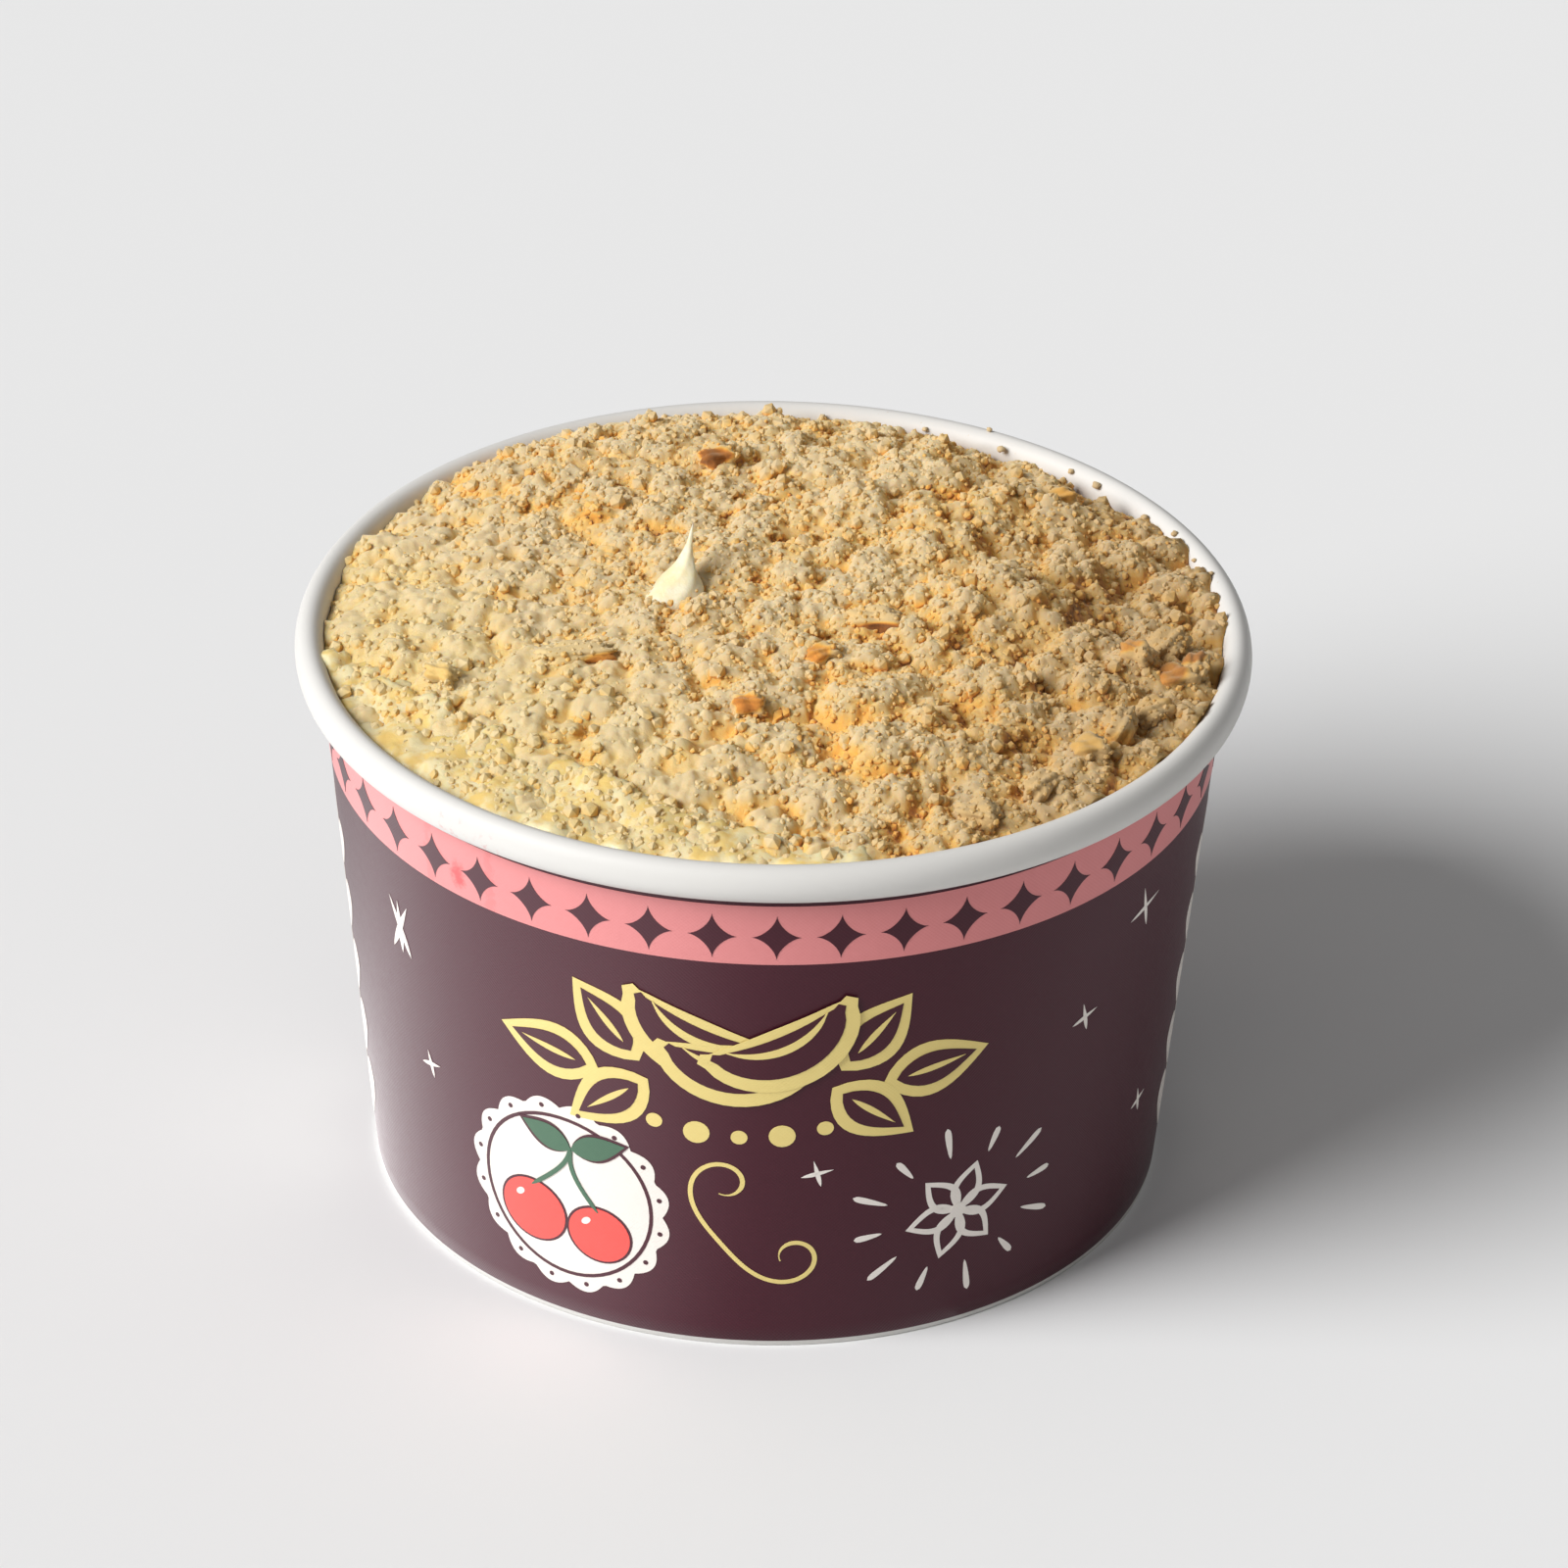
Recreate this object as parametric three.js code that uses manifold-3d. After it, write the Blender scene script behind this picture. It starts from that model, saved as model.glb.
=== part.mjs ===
// A paper dessert cup of banana pudding under a heap of crushed wafers.
// Millimetres, +Z up. The origin is the centre of the ring that the cup stands on, and -Y is its front.
import * as THREE from "three";
import { mergeVertices } from "three/addons/utils/BufferGeometryUtils.js";
import Module from "manifold-3d";

// ---- Driving dimensions: the paper cup ----
const CUP_HEIGHT = 60.6; // table to the top of the rolled rim
const RIM_RADIUS = 48.5; // outside of the rolled rim
const ROLL_WIDTH = 3.0; // the rolled rim, across
const ROLL_HEIGHT = 4.0; // the rolled rim, up and down
const FOOT_RADIUS = 40.66; // outside of the wall where it meets the table
const WALL_FLARE = 0.0924; // the wall's outward lean, mm for each mm of height
const PAPER = 0.5; // thickness of one layer of board
const GAP = 0.3; // clearance between two pieces that touch
const HEM_HEIGHT = 6.0; // the wall's lower edge, folded up inside
const DISC_TOP = 7.2; // upper face of the bottom disc
const ROLL_END = -125; // degrees round the roll at which the curled edge ends, under the rim
const CUP_SEGMENTS = 72;

// ---- Driving dimensions: the filling ----
const FOOD_RADIUS = 45.2; // where the food meets the paper, at the rim's inner lip
const EDGE_LEVEL = 59.5; // height of the food against the paper
const EDGE_TILT = 0.6; // how much higher it stands at EDGE_HIGH_AT
const EDGE_HIGH_AT = THREE.MathUtils.degToRad(-25);
const DOME_RISE = 5.6; // height of the heap over its edge
const DOME_POWER = 2.8; // over 2 is flatter on top and steeper at the edge
const DOME_LEAN = [-0.8, 1.5]; // extra rise towards +X and +Y
const CRUMB_LAYER = 2.4; // depth of the crumbs over the pudding
const CRUMB_INSET = 0.1; // the crumbs' side stands this far inside the pudding's
const SHOULDER = 0.8; // share of the roll's upper half that food may cover
const CREAM_SWELL = 0.7; // how far bare cream stands over the crumbs beside it
const PUDDING_RINGS = 15;
const CRUMB_RINGS = 20;

// Hills (+) and dips (-) of the heap: x, y, radius, height.
const SWELLS = [
  [18, 19, 9, 1.3],
  [28, 13, 8, -1.5],
  [41, 6, 8, 0.9],
  [31, 31, 8, -0.9],
  [-17, 34, 11, 2.0],
  [-29, 30, 8, 1.6],
  [-42, 14, 8, 1.3],
  [0, 40, 8, 1.2],
  [-19, -3, 8, -1.0],
  [14, -26, 11, 0.8],
  [-44, -6, 8, -0.5],
];

// The crescent at the front left where the cream lies bare.
const BARE_AT = THREE.MathUtils.degToRad(-126);
const BARE_HALF_SPAN = THREE.MathUtils.degToRad(52);
const BARE_WIDTH = 8.5;
const BARE_SOFTNESS = 3.0; // width over which the crumbs thin out
const CREAM_LUMPS = 0.45; // height of the soft waves in the bare cream

// The pointed peak that the spoon left in the cream.
const PEAK_AT = [-9.2, -0.6];
const PEAK_RADIUS = 3.4;
const PEAK_HEIGHT = 7.4;
const PEAK_LEAN = 0.14;

// Crumbs: clumps in the relief, and broken wafer pieces that stand out of it.
const CLUMP_PITCH = 4.6;
const CLUMP_RISE = 1.4;
const PIECE_SINK = 0.35; // share of a piece's half height that its middle stands above the relief
const PIECE_MARGIN = 4; // scattered pieces keep this far from the paper
const SCATTERED_PIECES = 38;
const SMALLEST_PIECE = 0.9;
const LARGEST_PIECE = 1.9;
// The pieces that stand out most: x, y, half length, half width, half height, turn in degrees.
const WAFER_PIECES = [
  [10.3, -5.8, 2.9, 1.7, 1.1, -10],
  [-19.5, -12.0, 3.2, 1.6, 0.8, 12],
  [39.6, -3.6, 2.4, 1.8, 1.5, 60],
  [40.2, -10.2, 2.2, 1.7, 1.4, 20],
  [36.8, -9.4, 1.7, 1.4, 1.2, -35],
  [34.4, -20.4, 2.3, 1.5, 1.4, 75],
  [38.0, -17.0, 2.0, 1.6, 1.3, 40],
  [20.4, -36.6, 2.3, 1.7, 1.4, -20],
  [26.4, -31.6, 1.9, 1.5, 1.3, 50],
  [-6.1, 26.7, 1.9, 1.5, 1.2, 15],
  [-2.3, -21.9, 1.6, 1.3, 1.1, 0],
  [4.9, -12.1, 1.6, 1.2, 1.0, 30],
];

const wasm = await Module();
wasm.setup();

// ---- Solids ----
function toSolid(geometry) {
  const bare = geometry.clone();
  bare.deleteAttribute("normal");
  bare.deleteAttribute("uv");
  const merged = mergeVertices(bare, 1e-4);
  return new wasm.Manifold(
    new wasm.Mesh({
      numProp: 3,
      vertProperties: new Float32Array(merged.attributes.position.array),
      triVerts: new Uint32Array(merged.index.array),
    }),
  );
}

function toGeometry(solid) {
  const mesh = solid.getMesh();
  const geometry = new THREE.BufferGeometry();
  geometry.setAttribute("position", new THREE.BufferAttribute(mesh.vertProperties, 3));
  geometry.setIndex(new THREE.BufferAttribute(mesh.triVerts, 1));
  geometry.computeVertexNormals();
  return geometry;
}

function largestBody(solid) {
  const bodies = solid.decompose();
  bodies.sort((a, b) => b.volume() - a.volume());
  return bodies[0];
}

// Turns a profile of [radius, height] points about +Z.
function turned(profile, segments) {
  const points = profile.map(([radius, height]) => new THREE.Vector2(radius, height));
  return new THREE.LatheGeometry(points, segments).rotateX(Math.PI / 2);
}

function ellipseArc(radius, height, halfWidth, halfHeight, fromDeg, toDeg, steps) {
  const arc = [];
  for (let i = 0; i <= steps; i++) {
    const turn = THREE.MathUtils.degToRad(fromDeg + ((toDeg - fromDeg) * i) / steps);
    arc.push([radius + halfWidth * Math.cos(turn), height + halfHeight * Math.sin(turn)]);
  }
  return arc;
}

// ---- The paper cup ----
function wallOutside(height) {
  return FOOT_RADIUS + WALL_FLARE * height;
}

function wallInside(height) {
  return wallOutside(height) - PAPER;
}

// The rolled rim's section is an ellipse round this point.
const rollRadius = RIM_RADIUS - ROLL_WIDTH / 2;
const rollCentre = CUP_HEIGHT - ROLL_HEIGHT / 2;

// One strip of board: folded up inside at the foot, straight up the wall, and rolled outwards at the rim.
function sidewallGeometry() {
  const hollow = [ROLL_WIDTH / 2 - PAPER, ROLL_HEIGHT / 2 - PAPER];
  const outer = [ROLL_WIDTH / 2, ROLL_HEIGHT / 2];
  const slotWidth = PAPER + 2 * GAP; // holds the skirt of the bottom disc
  const hemOutside = (height) => wallInside(height) - slotWidth;
  return turned(
    [
      [hemOutside(0) - PAPER, 0],
      [FOOT_RADIUS, 0],
      ...ellipseArc(rollRadius, rollCentre, ...hollow, 180, ROLL_END, 10),
      ...ellipseArc(rollRadius, rollCentre, ...outer, ROLL_END, 180, 13),
      [wallInside(PAPER), PAPER],
      [hemOutside(PAPER), PAPER],
      [hemOutside(HEM_HEIGHT), HEM_HEIGHT],
      [hemOutside(HEM_HEIGHT) - PAPER, HEM_HEIGHT],
      [hemOutside(0) - PAPER, 0],
    ],
    CUP_SEGMENTS,
  );
}

// The bottom disc stands above the table, and its skirt goes down between the wall and the hem.
function baseGeometry() {
  const skirtOutside = (height) => wallInside(height) - GAP;
  const skirtEnd = PAPER + GAP;
  const discUnder = DISC_TOP - PAPER;
  return turned(
    [
      [0, discUnder],
      [skirtOutside(discUnder) - PAPER, discUnder],
      [skirtOutside(skirtEnd) - PAPER, skirtEnd],
      [skirtOutside(skirtEnd), skirtEnd],
      [skirtOutside(DISC_TOP), DISC_TOP],
      [0, DISC_TOP],
    ],
    CUP_SEGMENTS,
  );
}

// ---- The heap's shape ----
function domeHeight(x, y) {
  const reach = Math.min(1, Math.hypot(x, y) / FOOD_RADIUS);
  const tilt = (x * Math.cos(EDGE_HIGH_AT) + y * Math.sin(EDGE_HIGH_AT)) / FOOD_RADIUS;
  const lean = (DOME_LEAN[0] * x + DOME_LEAN[1] * y) / FOOD_RADIUS;
  let height = EDGE_LEVEL + EDGE_TILT * tilt;
  height += (1 - reach ** DOME_POWER) * (DOME_RISE + lean);
  for (const [cx, cy, radius, rise] of SWELLS) {
    const away = ((x - cx) ** 2 + (y - cy) ** 2) / radius ** 2;
    height += rise * Math.exp(-away);
  }
  return height;
}

// 0 under the crumbs, 1 where the cream is bare. The bare crescent's inner edge is a wavy line.
function bareness(x, y) {
  const azimuth = Math.atan2(y, x);
  const off = Math.atan2(Math.sin(azimuth - BARE_AT), Math.cos(azimuth - BARE_AT));
  if (Math.abs(off) >= BARE_HALF_SPAN) return 0;
  const share = Math.cos(((off / BARE_HALF_SPAN) * Math.PI) / 2);
  const waves = 1.1 * Math.sin(9 * azimuth) + 0.7 * Math.sin(23 * azimuth + 1);
  const width = (BARE_WIDTH + BARE_SOFTNESS) * share ** 0.6 + waves * share - BARE_SOFTNESS;
  const innerEdge = FOOD_RADIUS - width;
  return THREE.MathUtils.smoothstep(Math.hypot(x, y), innerEdge - BARE_SOFTNESS, innerEdge);
}

function hash(i, j, salt) {
  const value = Math.sin(i * 127.1 + j * 311.7 + salt * 74.7) * 43758.5453;
  return value - Math.floor(value);
}

// Rounded clumps, one to a cell, each at its own place and of its own size.
function clumps(x, y) {
  const column = Math.floor(x / CLUMP_PITCH);
  const row = Math.floor(y / CLUMP_PITCH);
  let rise = 0;
  for (let i = column - 1; i <= column + 1; i++) {
    for (let j = row - 1; j <= row + 1; j++) {
      const cx = (i + hash(i, j, 1)) * CLUMP_PITCH;
      const cy = (j + hash(i, j, 2)) * CLUMP_PITCH;
      const radius = CLUMP_PITCH * (0.55 + 0.4 * hash(i, j, 3));
      const away = ((x - cx) ** 2 + (y - cy) ** 2) / radius ** 2;
      rise = Math.max(rise, (1 - away) * (0.4 + 0.6 * hash(i, j, 4)));
    }
  }
  return rise * CLUMP_RISE;
}

function crumbHeight(x, y) {
  return domeHeight(x, y) + clumps(x, y) - CLUMP_RISE / 2 - CREAM_SWELL * bareness(x, y);
}

function puddingHeight(x, y) {
  const lumps = CREAM_LUMPS * Math.sin(0.55 * x + 1) * Math.sin(0.6 * y - 0.5);
  const bare = bareness(x, y);
  return domeHeight(x, y) - CRUMB_LAYER * (1 - bare) + lumps * bare;
}

// How far out food reaches: along the wall, and above it over the inner shoulder of the rolled rim.
function foodReach(height) {
  const up = THREE.MathUtils.clamp((height - rollCentre) / (ROLL_HEIGHT / 2), 0, SHOULDER);
  const shoulder = (ROLL_WIDTH / 2) * (1 - Math.sqrt(1 - up * up));
  return Math.min(FOOD_RADIUS, wallInside(height) - GAP) + shoulder;
}

// A closed heap: rings of 6, 12, 18... points follow heightAt, and the side goes down along the wall.
function heapGeometry(heightAt, bottom, rings, inset) {
  const positions = [0, 0, heightAt(0, 0)];
  const firstOf = (ring) => (ring === 0 ? 0 : 1 + 3 * ring * (ring - 1));
  for (let ring = 1; ring <= rings; ring++) {
    for (let k = 0; k < 6 * ring; k++) {
      const turn = (k / (6 * ring)) * 2 * Math.PI;
      const [x, y] = [Math.cos(turn) * FOOD_RADIUS, Math.sin(turn) * FOOD_RADIUS];
      const height = heightAt((x * ring) / rings, (y * ring) / rings);
      const radius = ring < rings ? FOOD_RADIUS : foodReach(height) - inset;
      const reach = (radius / FOOD_RADIUS) * (ring / rings);
      positions.push(x * reach, y * reach, height);
    }
  }
  const rimStart = firstOf(rings);
  const waistStart = positions.length / 3;
  const around = 6 * rings;
  const footStart = waistStart + around;
  const pushRing = (levelAt) => {
    for (let k = 0; k < around; k++) {
      const turn = (k / around) * 2 * Math.PI;
      const level = levelAt(Math.cos(turn) * FOOD_RADIUS, Math.sin(turn) * FOOD_RADIUS);
      const radius = foodReach(level) - inset;
      positions.push(Math.cos(turn) * radius, Math.sin(turn) * radius, level);
    }
  };
  pushRing((x, y) => Math.min(rollCentre, heightAt(x, y) - GAP));
  pushRing(() => bottom);
  const footCentre = positions.length / 3;
  positions.push(0, 0, bottom);

  const faces = [];
  for (let ring = 1; ring <= rings; ring++) {
    const [inner, outer] = [firstOf(ring - 1), firstOf(ring)];
    const innerCount = Math.max(1, 6 * (ring - 1));
    for (let side = 0; side < 6; side++) {
      for (let k = 0; k < ring; k++) {
        const a = outer + side * ring + k;
        const b = outer + ((side * ring + k + 1) % (6 * ring));
        const c = inner + ((side * (ring - 1) + k) % innerCount);
        faces.push(a, b, c);
        if (k < ring - 1) {
          const d = inner + ((side * (ring - 1) + k + 1) % innerCount);
          faces.push(b, d, c);
        }
      }
    }
  }
  for (let k = 0; k < around; k++) {
    const next = (k + 1) % around;
    for (const [upper, lower] of [[rimStart, waistStart], [waistStart, footStart]]) {
      faces.push(upper + k, lower + k, lower + next);
      faces.push(upper + k, lower + next, upper + next);
    }
    faces.push(footStart + next, footStart + k, footCentre);
  }
  const geometry = new THREE.BufferGeometry();
  geometry.setAttribute("position", new THREE.Float32BufferAttribute(positions, 3));
  geometry.setIndex(faces);
  return geometry;
}

// A soft point with hollow flanks, leaning a little.
function peakGeometry(outset) {
  const [x, y] = PEAK_AT;
  const foot = puddingHeight(x, y) - 1;
  const profile = [[0, 0]];
  for (const share of [0, 0.3, 0.5, 0.7, 0.86, 0.96]) {
    const radius = PEAK_RADIUS * ((1 - share) ** 1.5 + 0.12 * Math.sqrt(1 - share));
    profile.push([radius + outset, share * PEAK_HEIGHT]);
  }
  profile.push([0, PEAK_HEIGHT + outset]);
  const shape = turned(profile, 12);
  const lean = new THREE.Matrix4().set(1, 0, PEAK_LEAN, 0, 0, 1, PEAK_LEAN, 0, 0, 0, 1, 0, 0, 0, 0, 1);
  return shape.applyMatrix4(lean).translate(x, y, foot);
}

function puddingSolid(lift) {
  const fill = heapGeometry(puddingHeight, DISC_TOP + GAP, PUDDING_RINGS, 0);
  return toSolid(fill.translate(0, 0, lift)).add(toSolid(peakGeometry(lift)));
}

// A broken bit of wafer: a many-sided lump with corners pushed in and out.
function waferGeometry(x, y, halfLength, halfWidth, halfHeight, turnDeg, salt) {
  const lump = new THREE.IcosahedronGeometry(1, 0);
  lump.deleteAttribute("normal");
  lump.deleteAttribute("uv");
  const bit = mergeVertices(lump, 1e-3);
  const corners = bit.attributes.position;
  for (let i = 0; i < corners.count; i++) {
    const push = 0.8 + 0.4 * hash(i, salt, 5);
    corners.setXYZ(
      i,
      corners.getX(i) * push * halfLength,
      corners.getY(i) * push * halfWidth,
      corners.getZ(i) * push * halfHeight,
    );
  }
  const rise = crumbHeight(x, y) + PIECE_SINK * halfHeight;
  return bit.rotateZ(THREE.MathUtils.degToRad(turnDeg)).translate(x, y, rise);
}

// Smaller pieces, spread like the seeds of a sunflower with some jitter.
function scatteredPieces() {
  const pieces = [];
  const goldenAngle = Math.PI * (3 - Math.sqrt(5));
  for (let i = 0; i < SCATTERED_PIECES; i++) {
    const radius = (FOOD_RADIUS - PIECE_MARGIN) * Math.sqrt((i + 0.5) / SCATTERED_PIECES);
    const turn = i * goldenAngle + 0.9 * (hash(i, 0, 6) - 0.5);
    const [x, y] = [radius * Math.cos(turn), radius * Math.sin(turn)];
    const size = THREE.MathUtils.lerp(SMALLEST_PIECE, LARGEST_PIECE, hash(i, 1, 7) ** 2);
    const clearOfPeak = Math.hypot(x - PEAK_AT[0], y - PEAK_AT[1]) > PEAK_RADIUS + size;
    if (clearOfPeak && bareness(x, y) < 0.2) {
      pieces.push([x, y, size * 1.2, size, size * 0.8, 360 * hash(i, 2, 8)]);
    }
  }
  return pieces;
}

// The crumbs fill the heap from its relief down to the pudding, which is cut out of them with a gap.
function crumbSolid() {
  const underside = EDGE_LEVEL - 3 * CRUMB_LAYER;
  let heap = toSolid(heapGeometry(crumbHeight, underside, CRUMB_RINGS, CRUMB_INSET));
  [...WAFER_PIECES, ...scatteredPieces()].forEach((piece, i) => {
    heap = heap.add(toSolid(waferGeometry(...piece, i)));
  });
  return largestBody(heap.subtract(puddingSolid(GAP)));
}

// ---- The cup as a scene ----
function part(name, geometry, color, roughness) {
  const material = new THREE.MeshStandardMaterial({ color, roughness, metalness: 0 });
  const mesh = new THREE.Mesh(geometry, material);
  mesh.name = name;
  return mesh;
}

const cup = new THREE.Group();
const paperCup = new THREE.Group();
paperCup.add(part("cup_sidewall", sidewallGeometry(), 0x50323a, 0.45));
paperCup.add(part("cup_base", baseGeometry(), 0xece9e4, 0.6));
const filling = new THREE.Group();
filling.add(part("pudding", toGeometry(puddingSolid(0)), 0xf3e6b4, 0.4));
filling.add(part("crumb_topping", toGeometry(crumbSolid()), 0xe2c894, 0.9));
cup.add(paperCup, filling);

export default cup;
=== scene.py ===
import math

import bmesh
import bpy
import numpy as np
from mathutils import Matrix, Vector
from mathutils.geometry import delaunay_2d_cdt


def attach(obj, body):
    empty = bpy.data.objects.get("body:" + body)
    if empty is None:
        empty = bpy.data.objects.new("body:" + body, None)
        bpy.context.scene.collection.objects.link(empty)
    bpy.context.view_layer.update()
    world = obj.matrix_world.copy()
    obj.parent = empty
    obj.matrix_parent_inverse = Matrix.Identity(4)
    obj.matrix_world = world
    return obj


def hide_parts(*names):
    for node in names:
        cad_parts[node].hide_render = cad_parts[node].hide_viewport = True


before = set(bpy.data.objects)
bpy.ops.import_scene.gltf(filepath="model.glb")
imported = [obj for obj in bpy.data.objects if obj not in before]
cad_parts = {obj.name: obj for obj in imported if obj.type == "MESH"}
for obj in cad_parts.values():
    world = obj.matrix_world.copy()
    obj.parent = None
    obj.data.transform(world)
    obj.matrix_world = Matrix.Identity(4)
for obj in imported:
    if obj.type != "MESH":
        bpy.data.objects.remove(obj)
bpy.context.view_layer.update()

# ---------------------------------------------------------------------------
# The set: a pale seamless floor, one soft key light at the front left, and an
# even grey room. The camera looks down on the cup from the front.
# ---------------------------------------------------------------------------
CAMERA_AT = (0.0, -0.7744, 0.5060)
CAMERA_AIM = (0.0013, 0.0, 0.0417)
CAMERA_ROLL = math.radians(0.973)
LENS_MM = 202.5
SENSOR_MM = 36.0
FLOOR_HALF = 6.0
KEY_AZIMUTH = math.radians(207.0)
KEY_ELEVATION = math.radians(36.0)
KEY_SPREAD = math.radians(35.0)
KEY_STRENGTH = 4.10
ROOM_GREY = 0.237
FLOOR_GREY = 0.80
FLOOR_ROUGHNESS = 0.9


def placed(name, data):
    """An object of the scene, at the origin."""
    made = bpy.data.objects.new(name, data)
    bpy.context.scene.collection.objects.link(made)
    return made


def sheet(name, x_ends, y_ends, level, finish):
    """A flat rectangle of the set."""
    mesh = bpy.data.meshes.new(name)
    corners = [(x_ends[i], y_ends[j], level) for i, j in ((0, 0), (1, 0), (1, 1), (0, 1))]
    mesh.from_pydata(corners, [], [(0, 1, 2, 3)])
    mesh.materials.append(finish)
    return placed(name, mesh)


camera_data = bpy.data.cameras.new("camera")
camera_data.lens = LENS_MM
camera_data.sensor_width = SENSOR_MM
camera = placed("camera", camera_data)
aim = (Vector(CAMERA_AIM) - Vector(CAMERA_AT)).to_track_quat("-Z", "Y").to_matrix().to_4x4()
camera.matrix_world = Matrix.Translation(CAMERA_AT) @ aim @ Matrix.Rotation(CAMERA_ROLL, 4, "Z")
bpy.context.scene.camera = camera

key_data = bpy.data.lights.new("key", "SUN")
key_data.angle = KEY_SPREAD
key_data.energy = KEY_STRENGTH
key = placed("key", key_data)
key_way = Vector(
    (
        math.cos(KEY_AZIMUTH) * math.cos(KEY_ELEVATION),
        math.sin(KEY_AZIMUTH) * math.cos(KEY_ELEVATION),
        math.sin(KEY_ELEVATION),
    )
)
key.location = key_way * 3.0
key.rotation_euler = key_way.to_track_quat("Z", "Y").to_euler()

room = bpy.data.worlds.new("room")
room.use_nodes = True
room.node_tree.nodes["Background"].inputs["Color"].default_value = (ROOM_GREY, ROOM_GREY, ROOM_GREY, 1)
bpy.context.scene.world = room
bpy.context.scene.view_settings.view_transform = "Standard"

floor_finish = bpy.data.materials.new("floor")
floor_finish.use_nodes = True
floor_surface = floor_finish.node_tree.nodes["Principled BSDF"]
floor_surface.inputs["Base Color"].default_value = (FLOOR_GREY, FLOOR_GREY, FLOOR_GREY, 1)
floor_surface.inputs["Roughness"].default_value = FLOOR_ROUGHNESS
floor_surface.inputs["Specular IOR Level"].default_value = 0.0
floor_ends = (-FLOOR_HALF, FLOOR_HALF)
floor = sheet("floor", floor_ends, floor_ends, 0, floor_finish)

# ---------------------------------------------------------------------------
# The sidewall: one strip of coated board, 0.5 mm thick, folded up inside at
# the foot, lapped along a glued side seam, and rolled outwards at the rim.
# The print is dark plum; the roll, the inside and the cut lower edge are white.
# ---------------------------------------------------------------------------
MM = 0.001
CUP_HEIGHT = 60.6
RIM_RADIUS = 48.5
ROLL_WIDTH = 3.0
ROLL_HEIGHT = 4.0
FOOT_RADIUS = 40.66
WALL_FLARE = 0.0924
WRAP_RADIUS = 43.4
BOARD = 0.5
HEM_SLOT = 1.1
HEM_HEIGHT = 6.0
SEAM_AT = 112.0
SEAM_LAP = 9.0
SEAM_STEP = 0.22
BARE_EDGE = 0.62
PRINT_TOP = 56.85
ROLL_TUCKED_AT = -128
ROLL_RADIUS = RIM_RADIUS - ROLL_WIDTH / 2
ROLL_CENTRE = CUP_HEIGHT - ROLL_HEIGHT / 2


def wall_outside(height):
    return FOOT_RADIUS + WALL_FLARE * height


def wall_inside(height):
    return wall_outside(height) - BOARD


def arc(centre, half_size, start, end, steps):
    """Points of an ellipse in the section plane, from one angle to another."""
    turns = np.radians(np.linspace(start, end, steps + 1))
    return [(centre[0] + half_size[0] * math.cos(t), centre[1] + half_size[1] * math.sin(t)) for t in turns]


def new_piece(name, vertices, faces, materials, crisp=False):
    """A mesh object in millimetres, placed in its mesh."""
    mesh = bpy.data.meshes.new(name)
    mesh.from_pydata((np.asarray(vertices, float) * MM).tolist(), [], faces)
    for one in materials:
        mesh.materials.append(one)
    mesh.polygons.foreach_set("use_smooth", [True] * len(mesh.polygons))
    if crisp:
        mesh.set_sharp_from_angle(angle=math.radians(40))
    return placed(name, mesh)


def revolve(section, azimuths, swell=None):
    """Turns a section of (radius, height) about the cup's axis. A section that starts on the axis gets a
    pole at each end, and any other closes on itself. Azimuth 0 is the front."""
    open_ended = section[0][0] == 0
    rows = section[1:-1] if open_ended else section
    vertices = []
    for azimuth in azimuths:
        for k, (radius, height) in enumerate(rows):
            grown = radius + (swell(azimuth, k) if swell else 0)
            turn = math.radians(azimuth)
            vertices.append((grown * math.sin(turn), -grown * math.cos(turn), height))
    count, around = len(rows), len(azimuths)
    faces = []
    for i in range(around):
        here, there = i * count, ((i + 1) % around) * count
        for k in range(count - 1 if open_ended else count):
            up = (k + 1) % count
            faces.append((here + k, there + k, there + up, here + up))
    if open_ended:
        low, high = len(vertices), len(vertices) + 1
        vertices += [(0, 0, section[0][1]), (0, 0, section[-1][1])]
        for i in range(around):
            here, there = i * count, ((i + 1) % around) * count
            faces.append((low, there, here))
            faces.append((high, here + count - 1, there + count - 1))
    return vertices, faces


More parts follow.
